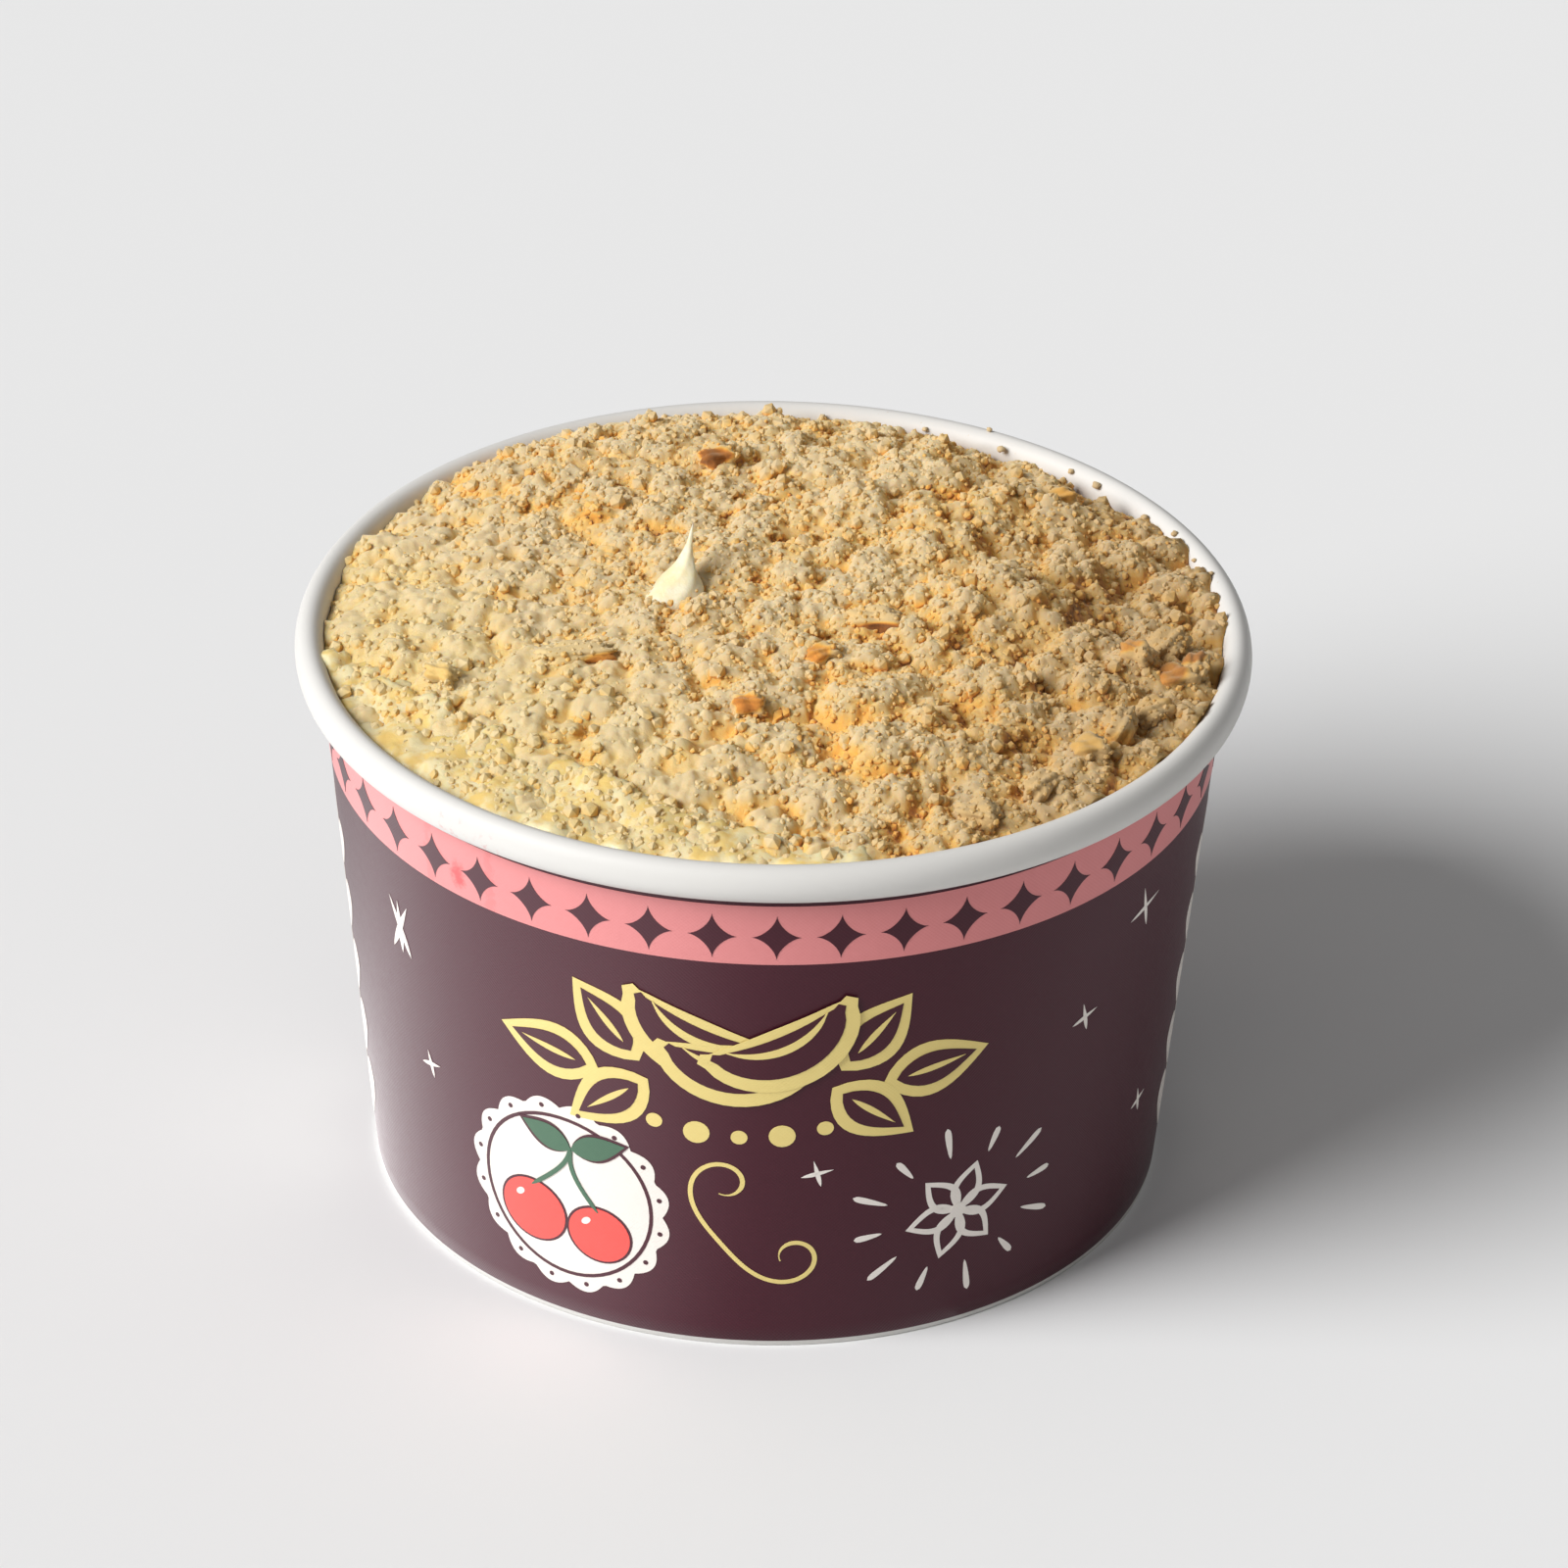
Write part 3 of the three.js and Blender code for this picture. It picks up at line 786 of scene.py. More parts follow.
for x, y, size in ((-3.9, -3.0, 3.9), (3.9, -3.8, 3.5)):
    spot = (MAT_AT[0] + x, MAT_AT[1] + y)
    draw(plum_over, 2, disc(size + 0.28, 40, 0.94), spot)
    draw(red, 3, disc(size, 40, 0.94), spot)
    draw(cream, 4, disc(0.62, 16, 0.6), (spot[0] - size * 0.4, spot[1] + size * 0.42), 40)
    reach = np.linspace(0, 1, 20)[:, None]
    tip = np.array([MAT_AT[0] + 1.1, MAT_AT[1] + 6.4])
    start = np.array([spot[0], spot[1] + size * 0.8])
    bow = np.array([-math.copysign(1.2, x), 0.4])
    green.append(([ribbon(start + (tip - start) * reach + bow * np.sin(np.pi * reach), 0.5)], 4))
for turn, length in ((18, 6.4), (160, 6.0)):
    stalk_top = (MAT_AT[0] + 1.1, MAT_AT[1] + 6.2)
    draw(plum_over, 3, leaf(length + 0.5, 3.5), stalk_top, turn)
    draw(green, 4, leaf(length, 2.9), stalk_top, turn)

# A thin yellow flourish that curls in at both ends.
reach = np.linspace(0, 1, 120)
curl = 1.9 * np.pi * (2 * np.abs(reach - 0.5)) ** 2.2 * np.sign(reach - 0.5)
heading = math.radians(-52) + curl
steps = np.stack([np.cos(heading), np.sin(heading)], axis=1) * 0.33
swash = np.cumsum(steps, axis=0)
swash += np.array(at_degrees(-2.5, 15.0)) - swash.mean(axis=0)
yellow.append(([ribbon(swash, 0.5)], 1))

# A cream blossom in a ring of dashes, at the lower right.
BLOSSOM_AT = at_degrees(27.5, 14.6)
PETALS = 6
DASHES = 12
for k in range(PETALS):
    turn = 360 / PETALS * k + 12
    petal = moved(leaf(6.0, 3.6, 16), BLOSSOM_AT, turn)
    vein = moved(leaf(4.2, 2.1, 12) + (0.9, 0), BLOSSOM_AT, turn)
    cream.append(([petal, vein], 1))
draw(cream, 2, disc(0.9, 20), BLOSSOM_AT)
for k in range(DASHES):
    turn = math.radians(360 / DASHES * (k + 0.3))
    foot = (BLOSSOM_AT[0] + 8.6 * math.cos(turn), BLOSSOM_AT[1] + 6.9 * math.sin(turn))
    length = 4.0 if k % 2 else 3.0
    draw(cream, 1, drop(length, 0.85), foot, math.degrees(turn))

# Sparkles: plus signs, each with its azimuth, height and reach, and one star of three strokes.
SPARKLES = [(57.5, 42.5, 2.6), (46.5, 33.2, 1.8), (64.0, 16.0, 1.6), (7.0, 22.0, 1.7), (-52, 24.0, 1.6)]
for azimuth, height, reach in SPARKLES:
    for turn in (4, 94):
        stroke = moved(leaf(2 * reach, 0.5, 10) - (reach, 0), (0, 0), turn)
        draw(cream, 1, stroke, at_degrees(azimuth, height), 10)
for k, turn in enumerate((62, 118, 92)):
    stroke = leaf(7.0 if k < 2 else 6.2, 0.85, 12) - (3.5 if k < 2 else 3.1, 0)
    draw(cream, 1, stroke, at_degrees(-56.5, 39.0), turn)

# Tall sprigs of rounded cream leaves at both sides.
for side in (-1, 1):
    for k in range(5):
        for row in (-1, 1):
            foot = at_degrees(side * 82.0, 5.0 + 7.6 * k + (2.2 if row > 0 else 0))
            turn = 90 - row * side * 24
            draw(cream, 1, drop(8.4 - 0.5 * k, 4.6 - 0.25 * k), foot, turn)

front = [("print_cream", cream, CREAM_INK), ("print_yellow", yellow, YELLOW_INK)]
front += [("print_red", red, RED_INK), ("print_green", green, GREEN_INK), ("print_plum", plum_over, PLUM_INK)]
for name, drawings, ink in front:
    piece = ink_piece(name, drawings, ink)
    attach(piece, "root")
    behind = piece.data.copy()
    behind.transform(Matrix.Rotation(math.pi, 4, "Z"))
    back_piece = placed(name + "_back", behind)
    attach(back_piece, "root")

# ---------------------------------------------------------------------------
# The pudding: pale yellow cream up to the rim, smooth and moist where it lies
# bare at the front left, with one soft peak that the spoon drew up.
# ---------------------------------------------------------------------------
FOOD_RADIUS = 45.2
FOOD_GAP = 0.2
EDGE_LEVEL = 59.5
EDGE_TILT = 0.6
EDGE_HIGH_AT = math.radians(-25)
DOME_RISE = 5.6
DOME_POWER = 2.8
DOME_LEAN = (-0.8, 1.5)
CRUMB_LAYER = 2.4
SHOULDER = 0.8
CREAM_SWELL = 0.5
# The x, y, radius and rise of each swell or dip of the heap.
SWELLS = [(18, 19, 9, 1.3), (28, 13, 8, -1.5), (41, 6, 8, 0.9), (31, 31, 8, -0.9), (-17, 34, 11, 2.0)]
SWELLS += [(-29, 30, 8, 1.6), (-42, 14, 8, 1.3), (0, 40, 8, 1.2), (-19, -3, 8, -1.0), (14, -26, 11, 0.8)]
SWELLS += [(-45, -4, 9, 0.8), (20, -4, 7, 0.9), (27, 1, 8, 1.7), (39, 2, 7, -2.4), (19, 24, 6, 0.7)]
SWELLS += [(-21, 9, 6, -1.2), (-4, 20, 5, -0.8)]
BARE_AT = math.radians(-126)
BARE_HALF_SPAN = math.radians(52)
BARE_WIDTH = 8.5
BARE_SOFTNESS = 3.0
PEAK_AT = (-9.2, -0.6)
PEAK_SIDES = 24
PEAK_FOOT = (-10.4, -0.6, 61.6)
PEAK_TIP = (-8.3, 4.35, 69.9)


def smooth_step(value, low, high):
    """0 at low, 1 at high, either way round."""
    share = np.clip((value - low) / (high - low), 0, 1)
    return share * share * (3 - 2 * share)


def dome_height(x, y):
    reach = np.minimum(1, np.hypot(x, y) / FOOD_RADIUS)
    tilt = (x * math.cos(EDGE_HIGH_AT) + y * math.sin(EDGE_HIGH_AT)) / FOOD_RADIUS
    lean = (DOME_LEAN[0] * x + DOME_LEAN[1] * y) / FOOD_RADIUS
    height = EDGE_LEVEL + EDGE_TILT * tilt + (1 - reach**DOME_POWER) * (DOME_RISE + lean)
    for cx, cy, radius, rise in SWELLS:
        height = height + rise * np.exp(-((x - cx) ** 2 + (y - cy) ** 2) / radius**2)
    return height


def chance(i, j, salt):
    """A number from 0 to 1 that is fixed for each cell."""
    value = np.sin(i * 127.1 + j * 311.7 + salt * 74.7) * 43758.5453
    return value - np.floor(value)


def clumps(x, y, pitch, salt=0):
    """Rounded clumps, one to a cell, each at its own place and of its own size."""
    column, row = np.floor(x / pitch), np.floor(y / pitch)
    rise = np.zeros_like(x)
    for di in (-1, 0, 1):
        for dj in (-1, 0, 1):
            i, j = column + di, row + dj
            cx = (i + chance(i, j, 1 + salt)) * pitch
            cy = (j + chance(i, j, 2 + salt)) * pitch
            radius = pitch * (0.55 + 0.4 * chance(i, j, 3 + salt))
            away = ((x - cx) ** 2 + (y - cy) ** 2) / radius**2
            rise = np.maximum(rise, (1 - away) * (0.4 + 0.6 * chance(i, j, 4 + salt)))
    return rise


def bareness(x, y):
    """0 under the crumbs, 1 where the cream is bare."""
    azimuth = np.arctan2(y, x)
    off = np.arctan2(np.sin(azimuth - BARE_AT), np.cos(azimuth - BARE_AT))
    share = np.clip(np.cos(off / BARE_HALF_SPAN * math.pi / 2), 0, 1)
    waves = 1.1 * np.sin(9 * azimuth) + 0.7 * np.sin(23 * azimuth + 1)
    width = (BARE_WIDTH + BARE_SOFTNESS) * share**0.6 + waves * share - BARE_SOFTNESS
    inner_edge = FOOD_RADIUS - width
    ragged = 3.4 * (clumps(x, y, 4.2, 120) - 0.5) + 1.6 * (clumps(x, y, 1.9, 130) - 0.5)
    bare = smooth_step(np.hypot(x, y) + ragged, inner_edge - BARE_SOFTNESS, inner_edge)
    return np.where(np.abs(off) < BARE_HALF_SPAN, bare, 0)


def food_reach(height):
    """How far out the food lies at a height: against the wall, and over the roll's shoulder at the top."""
    up = np.clip((height - ROLL_CENTRE) / (ROLL_HEIGHT / 2), 0, SHOULDER)
    shoulder = ROLL_WIDTH / 2 * (1 - np.sqrt(1 - up * up))
    return np.minimum(FOOD_RADIUS + FOOD_GAP, wall_inside(height) - FOOD_GAP) + shoulder


def heap(height_at, bottom, rings):
    """A closed heap: rings of 6, 12, 18... points follow the height, and its side goes down the wall."""
    ring = np.repeat(np.arange(1, rings + 1), 6 * np.arange(1, rings + 1))
    first = 1 + 3 * ring * (ring - 1)
    turn = (np.arange(1, 1 + len(ring)) - first) / (6 * ring) * 2 * np.pi
    share = ring / rings
    x, y = np.cos(turn) * FOOD_RADIUS * share, np.sin(turn) * FOOD_RADIUS * share
    height = height_at(x, y)
    out = np.where(ring < rings, 1, food_reach(height) / FOOD_RADIUS)
    summit = np.array([[0, 0, height_at(np.zeros(1), np.zeros(1))[0]]])
    points = [summit, np.stack([x * out, y * out, height], axis=1)]
    around = 6 * rings
    edge = np.arange(around) / around * 2 * np.pi
    edge_height = height[-around:]
    for level in (np.minimum(ROLL_CENTRE, edge_height - GAP), np.full(around, float(bottom))):
        radius = food_reach(level)
        points.append(np.stack([np.cos(edge) * radius, np.sin(edge) * radius, level], axis=1))
    points.append(np.array([[0, 0, bottom]]))
    faces = []
    for r in range(1, rings + 1):
        inner, outer = (0 if r == 1 else 1 + 3 * (r - 1) * (r - 2)), 1 + 3 * r * (r - 1)
        inner_count = max(1, 6 * (r - 1))
        for side in range(6):
            for k in range(r):
                a, b = outer + side * r + k, outer + (side * r + k + 1) % (6 * r)
                c = inner + (side * (r - 1) + k) % inner_count
                faces.append((a, b, c))
                if k < r - 1:
                    faces.append((b, inner + (side * (r - 1) + k + 1) % inner_count, c))
    top = 1 + 3 * rings * (rings - 1)
    waist = top + around
    foot = waist + around
    for k in range(around):
        n = (k + 1) % around
        for upper, lower in ((top, waist), (waist, foot)):
            faces.append((upper + k, lower + k, lower + n, upper + n))
        faces.append((foot + n, foot + k, foot + around))
    return np.concatenate(points), faces


def pudding_height(x, y):
    lumps = 0.45 * np.sin(0.55 * x + 1) * np.sin(0.6 * y - 0.5)
    folds = 0.8 * clumps(x, y, 4.6, 20) + 0.5 * clumps(x, y, 2.2, 30) + 0.22 * clumps(x, y, 1.1, 40)
    bare = bareness(x, y)
    return dome_height(x, y) - CRUMB_LAYER * (1 - bare) + (lumps + folds - 0.75) * bare


def cream_look(deep, pale):
    def look(shade):
        at, x, y, z = shade.place()
        cloud = shade.noise(at, 3.0, 3.0, 0.55)
        fine = shade.noise(at, 0.7, 3.0, 0.6)
        return {
            "Base Color": (cloud * 0.8 + fine * 0.2).step(0.40, 0.58).mix(deep, pale),
            "Roughness": 0.34 + fine * 0.25,
            "Normal": (fine * 0.6 + cloud * 0.4).bump(0.12),
        }

    return look


CREAM_GLOW = dict(Subsurface_Weight=0.5, Subsurface_Radius=(1.0, 0.75, 0.4), Subsurface_Scale=0.0015)
CREAM_WET = dict(Coat_Weight=0.15, **CREAM_GLOW)
CREAM_FOOD = material("banana_cream", cream_look((0.77, 0.54, 0.18), (0.77, 0.655, 0.38)), **CREAM_WET)
PEAK_CREAM = material("peak_cream", cream_look((0.79, 0.69, 0.42), (0.79, 0.735, 0.54)), **CREAM_WET)

pudding = new_piece("banana_pudding", *heap(pudding_height, DISC_TOP + GAP, 90), [CREAM_FOOD])
# The peak from its foot to its tip: each row's level, radius, x and y.
PEAK_ROWS = [
    (61.6, 3.0, -10.3, -0.6),
    (63.2, 2.9, -10.2, -0.4),
    (64.3, 2.5, -9.9, 0.0),
    (65.1, 1.95, -9.6, 0.4),
    (65.9, 1.40, -9.3, 0.9),
    (66.6, 1.00, -9.1, 1.5),
    (67.3, 0.66, -8.9, 2.1),
    (68.0, 0.38, -8.7, 2.8),
    (68.7, 0.22, -8.55, 3.4),
    (69.4, 0.13, -8.4, 4.0),
]
peak_points = [PEAK_FOOT]
for level, radius, cx, cy in PEAK_ROWS:
    for k in range(PEAK_SIDES):
        turn = 2 * math.pi * k / PEAK_SIDES
        flute = 1 + 0.16 * math.sin(2 * turn + level * 0.9) + 0.12 * math.sin(5 * turn - level * 2.3)
        reach = radius * flute
        peak_points.append((cx + reach * math.cos(turn), cy + reach * math.sin(turn), level))
peak_points.append(PEAK_TIP)
peak_faces = []
for row in range(len(PEAK_ROWS)):
    for k in range(PEAK_SIDES):
        here, there = 1 + row * PEAK_SIDES + k, 1 + row * PEAK_SIDES + (k + 1) % PEAK_SIDES
        if row == 0:
            peak_faces.append((0, there, here))
        if row == len(PEAK_ROWS) - 1:
            peak_faces.append((here, there, len(peak_points) - 1))
        else:
            peak_faces.append((here, there, there + PEAK_SIDES, here + PEAK_SIDES))
peak = new_piece("cream_peak", peak_points, peak_faces, [PEAK_CREAM])
softer = peak.modifiers.new("softer", "SUBSURF")
softer.levels = softer.render_levels = 1
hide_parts("pudding")
for piece in (pudding, peak):
    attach(piece, "root")

# ---------------------------------------------------------------------------
# The crumbs: vanilla wafers crushed to grit, heaped over the pudding. A core
# carries the clumps as relief, with loose lumps, crumbs and fines all over it.
# ---------------------------------------------------------------------------
CLUMP_PITCH = 4.6
CLUMP_RISE = 1.4
MOUND_PITCH = 9.5
MOUND_RISE = 2.8
WET_AT = math.radians(-148)
WET_FLATTENING = 0.3
# The pitch, rise and seed of each layer of relief finer than a clump.
FINE_LAYERS = [(2.5, 0.9, 50), (1.3, 0.6, 60), (0.72, 0.2, 70)]
# The x, y and reach of each bit of baked skin.
TOASTED_SPOTS = [(-6, 27, 2.2), (-19, 16, 2.6), (-20, 3, 1.8), (-2, -22, 1.9), (5, -12, 1.6)]
TOASTED_SPOTS += [(-37.4, -17.6, 1.8), (9.5, -8.2, 1.7), (40, -11, 2.4), (33, -22, 1.7), (-12, 12, 2.0)]
TOASTED_SPOTS += [(-17, 8, 1.8), (17, 33, 1.5), (-21, -14.4, 1.5), (-24, 24, 1.4), (2, 8, 1.3)]
TOASTED_SPOTS += [(24, -12, 1.4), (-8, -30, 1.4), (44, -5, 1.3)]


def looseness(x, y):
    """How dry and loosely heaped the crumbs are, from 0 at the left to 1 at the right."""
    return smooth_step(x - 0.2 * y, -12.0, 26.0)


def crumb_bed(x, y):
    """The level round which the small clumps rise and fall."""
    coarse = (clumps(x, y, CLUMP_PITCH) - 0.5) * CLUMP_RISE * (1 + 0.5 * looseness(x, y))
    by_rim = smooth_step(np.hypot(x, y), 44.5, 36.0)
    mounds = (clumps(x, y, MOUND_PITCH, 110) - 0.5) * MOUND_RISE * looseness(x, y) * by_rim
    return dome_height(x, y) + coarse + mounds - CREAM_SWELL * bareness(x, y)


def wetness(x, y):
    """How far the crumbs have sunk into the cream, from 0 to 1 at the front left edge."""
    return smooth_step(x * math.cos(WET_AT) + y * math.sin(WET_AT), 2.0, 38.0)


def crumb_height(x, y):
    fine = sum((clumps(x, y, pitch, salt) - 0.45) * rise for pitch, rise, salt in FINE_LAYERS)
    height = crumb_bed(x, y) + fine * (1 - WET_FLATTENING * wetness(x, y)) - 0.2
    round_peak = np.hypot(x - PEAK_AT[0] + 0.6, y - PEAK_AT[1] - 0.2)
    return height - 1.0 * (1 - smooth_step(round_peak, 1.6, 3.4))


def toasting_and_painted_shade(mesh):
    """How golden each point is: where bits of baked skin lie, and painted shade between the clumps, on the
    sides turned away from the key light, and a little towards the right."""
    x, y, z = points_of(mesh).T
    level = (z - crumb_bed(x, y)) / (1 - WET_FLATTENING * wetness(x, y))
    # Painted shade: points lying low between the clumps are painted more golden.
    depth = 1 - smooth_step(level, -0.75, 0.15)
    # Painted shade: the sides turned away from the key light are painted more golden.
    away = np.empty(len(x) * 3, np.float32)
    mesh.vertex_normals.foreach_get("vector", away)
    painted_away_shade = 1 - smooth_step(away.reshape(-1, 3) @ np.array(key_way), -0.15, 0.55)
    skin = np.zeros(len(x))
    for sx, sy, reach in TOASTED_SPOTS:
        skin = np.maximum(skin, np.exp(-(((x - sx) ** 2 + (y - sy) ** 2) / reach**2) ** 2))
    # The skin is the crumbs' own browning; the share by looseness paints the right side a little darker, as
    # painted shade.
    return 0.20 * depth + 0.46 * painted_away_shade + 0.28 * skin + 0.06 * looseness(x, y)


def store(mesh, name, values):
    made = mesh.attributes.get(name) or mesh.attributes.new(name, "FLOAT", "POINT")
    made.data.foreach_set("value", np.asarray(values, np.float32))


def points_of(mesh):
    flat = np.empty(len(mesh.vertices) * 3, np.float32)
    mesh.vertices.foreach_get("co", flat)
    return flat.reshape(-1, 3) / MM


CRUMB_STOPS = [
    (0.0, (0.62, 0.475, 0.27)),
    (0.22, (0.65, 0.455, 0.20)),
    (0.42, (0.71, 0.44, 0.13)),
    (0.62, (0.76, 0.38, 0.068)),
    (0.84, (0.52, 0.18, 0.028)),
    (1.0, (0.22, 0.075, 0.015)),
]
MOIST_STOPS = [
    (0.0, (0.66, 0.525, 0.285)),
    (0.25, (0.67, 0.505, 0.22)),
    (0.5, (0.71, 0.465, 0.14)),
    (0.75, (0.68, 0.34, 0.05)),
    (1.0, (0.30, 0.10, 0.02)),
]
PAINTED_SHADE_BROWN = (0.30, 0.155, 0.05)


def crumb_look(warmth):
    """Pale crumb, golden where it is toasted and where shade is painted in, soaked at the front left, and
    darker at the right with painted shade.
    """

    def look(shade):
        at, x, y, z = shade.place()
        tint = shade.node("ShaderNodeAttribute", {"attribute_name": "tint"}, output="Fac")
        toast = shade.node("ShaderNodeAttribute", {"attribute_name": "toast"}, output="Fac")
        patches = shade.noise(at, 8.0, 3.0, 0.6)
        clots = shade.noise(at, 1.6, 2.0, 0.5)
        grit = shade.noise(at, 0.35, 2.0, 0.6)
        rare = tint**30.0
        tone = toast + rare * 0.35 + tint * 0.10 + (patches - 0.5) * 0.3
        tone = tone + (clots - 0.5) * 0.25 + (grit - 0.5) * 0.1 + warmth
        dry = shade.node("ShaderNodeValToRGB", {"stops": CRUMB_STOPS}, {0: tone})
        soaked = shade.node("ShaderNodeValToRGB", {"stops": MOIST_STOPS}, {0: tone})
        toward = x * math.cos(WET_AT) + y * math.sin(WET_AT)
        moist = (toward + (patches - 0.5) * 22.0).step(10.0, 36.0)
        # Painted shade: the right of the heap, which falls away from the key light, is painted browner.
        far = (x - y * 0.2).step(8.0, 40.0)
        crumb = (moist * 0.9).mix(dry, soaked)
        return {
            "Base Color": (far * 0.40).mix(crumb, PAINTED_SHADE_BROWN),
            "Roughness": 0.9 - moist * 0.4,
            "Normal": (grit + clots * 0.5).bump(0.06),
        }

    return look


CRUMB_FEEL = dict(IOR=1.3, Sheen_Weight=0.4, Sheen_Roughness=0.6, Sheen_Tint=(1.0, 0.84, 0.58, 1.0))
CORE_GLOW = dict(Subsurface_Weight=0.9, Subsurface_Radius=(1.0, 0.7, 0.4), Subsurface_Scale=0.0007)
CRUMB_CORE = material("crumb_core", crumb_look(0.0), **CRUMB_FEEL, **CORE_GLOW)
CRUMB_LOOSE = material("crumb_loose", crumb_look(0.04), **CRUMB_FEEL)

CORE_RINGS = 175
COVER_DEPTH = 2.5
core_points, core_faces = heap(crumb_height, EDGE_LEVEL - 3 * CRUMB_LAYER, CORE_RINGS)
core = new_piece("crumb_core", core_points, core_faces, [CRUMB_CORE])
core_x, core_y, core_z = core_points.T
within = (np.hypot(core_x, core_y) < FOOD_RADIUS - 0.1) & (core_z > EDGE_LEVEL - COVER_DEPTH)
within = within * smooth_step(np.hypot(core_x - PEAK_AT[0] - 0.4, core_y - PEAK_AT[1] - 0.4), 1.6, 3.0)
bare = bareness(core_x, core_y)
wet = wetness(core_x, core_y)
border = smooth_step(bare, 0.1, 0.4) * (1 - smooth_step(bare, 0.8, 0.98))
heaped = (1 - smooth_step(bare, 0.35, 0.85)) * (1 - 0.15 * wet)
fine_cover = within * (1 - smooth_step(bare, 0.0, 0.3)) * (1 - smooth_step(wet, 0.15, 0.6))
store(core.data, "cover", within * np.maximum(heaped, 0.8 * border))
store(core.data, "toast", toasting_and_painted_shade(core.data))
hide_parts("crumb_topping")
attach(core, "root")

SUNK = 0.14
LEAN = 0.6


def crumb_shape(name, salt, blobs, lobes):
    """One crumb, about 1 mm across: a clot of a few small balls, each pushed in and out into soft lobes."""
    shape = bmesh.new()
    for blob in range(blobs):
        turn = 2.4 * blob + salt
        reach = 0.27 if blobs > 1 else 0.0
        size = 0.24 + 0.10 * float(chance(blob, salt, 6)) if blobs > 1 else 0.5
        level = 0.32 * (float(chance(blob, salt, 7)) - 0.5) * min(1, blobs - 1)
        at = Vector((reach * math.cos(turn), reach * math.sin(turn), level - SUNK)) * MM
        place = Matrix.Translation(at)
        made = bmesh.ops.create_icosphere(shape, subdivisions=1, radius=size * MM, matrix=place)
        for k, vertex in enumerate(made["verts"]):
            push = 1 + lobes * 2 * (float(chance(k, salt, blob + 8)) - 0.5)
            vertex.co = at + (vertex.co - at) * push
    mesh = bpy.data.meshes.new(name)
    shape.to_mesh(mesh)
    shape.free()
    return bpy.data.objects.new(name, mesh)


def crumb_kit(name, salts, blobs, lobes):
    kit = bpy.data.collections.new(name)
    for salt in salts:
        kit.objects.link(crumb_shape(f"{name}_{salt}", salt, blobs, lobes))
    return kit


strew_numbers = {"Kit": "Collection", "Spacing": "Float", "Smallest": "Float", "Largest": "Float"}
strew_numbers |= {"Lift": "Float", "Seed": "Int"}
strew_tree, strew = tree_with("strewn_crumbs", strew_numbers)
named = "GeometryNodeInputNamedAttribute"
cover_value = strew["Seed"].node(named, {"data_type": "FLOAT"}, {"Name": "cover"})
spots = cover_value.node(
    "GeometryNodeDistributePointsOnFaces",
    {"distribute_method": "POISSON"},
    {
        "Mesh": strew["Geometry"],
        "Distance Min": strew["Spacing"],
        "Density Max": 2.5 / (strew["Spacing"] * strew["Spacing"]),
        "Density Factor": cover_value,
        "Seed": strew["Seed"],
    },
)


def random_share(after, shift):
    """A number from 0 to 1 for each crumb."""
    return after.node(
        "FunctionNodeRandomValue",
        {"data_type": "FLOAT"},
        {2: 0.0, 3: 1.0, "Seed": strew["Seed"] + shift},
        output=1,
    )


offset = spots.node(
    "ShaderNodeVectorMath",
    {"operation": "SCALE"},
    {0: spots.other("Normal"), "Scale": strew["Lift"]},
)
lifted = spots.node("GeometryNodeSetPosition", inputs={"Geometry": spots, "Offset": offset})
tinted = lifted.node(
    "GeometryNodeStoreNamedAttribute",
    {"data_type": "FLOAT", "domain": "POINT"},
    {"Geometry": lifted, "Name": "tint", "Value": random_share(spots, 1)},
)
kinds = tinted.node(
    "GeometryNodeCollectionInfo",
    {"transform_space": "ORIGINAL"},
    {"Collection": strew["Kit"], "Separate Children": True, "Reset Children": True},
)
share = random_share(spots, 2)
size = strew["Smallest"] + (strew["Largest"] - strew["Smallest"]) * share * share
spin = tinted.node(
    "FunctionNodeRandomValue",
    {"data_type": "FLOAT_VECTOR"},
    {0: (-LEAN, -LEAN, 0), 1: (LEAN, LEAN, 2 * math.pi), "Seed": strew["Seed"] + 3},
)
strewn = tinted.node(
    "GeometryNodeInstanceOnPoints",
    inputs={"Points": tinted, "Instance": kinds, "Pick Instance": True, "Rotation": spin, "Scale": size},
)
end_tree(strew_tree, strewn, strew["Material"])


def strewn_piece(name, on, kit, spacing, sizes, lift, seed):
    """Loose crumbs of a kit, strewn over a piece as densely as its cover says."""
    values = {
        "Kit": kit,
        "Spacing": spacing * MM,
        "Smallest": sizes[0],
        "Largest": sizes[1],
        "Lift": lift * MM,
        "Seed": seed,
        "Material": CRUMB_LOOSE,
    }
    piece = grown(name, on, strew_tree, values)
    store(piece.data, "toast", toasting_and_painted_shade(piece.data))
    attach(piece, "root")
    return piece


LUMP_KIT = crumb_kit("lump", range(11, 17), 3, 0.16)
CRUMB_KIT = crumb_kit("crumb", range(21, 26), 2, 0.18)
GRIT_KIT = crumb_kit("grit", range(6, 11), 1, 0.18)
lumps = strewn_piece("lumps", core, LUMP_KIT, 2.6, (1.5, 3.0), -0.15, 13)
crumbs = strewn_piece("crumbs", core, CRUMB_KIT, 1.08, (0.9, 1.8), -0.08, 12)
store(core.data, "cover", fine_cover)
fines = strewn_piece("fines", core, GRIT_KIT, 0.84, (0.5, 1.0), -0.06, 11)
lump_points = points_of(lumps.data)
lump_wet = wetness(lump_points[:, 0], lump_points[:, 1])
store(lumps.data, "cover", 1 - smooth_step(lump_wet, 0.15, 0.6))
lump_fines = strewn_piece("lump_fines", lumps, GRIT_KIT, 1.1, (0.4, 0.8), -0.05, 15)

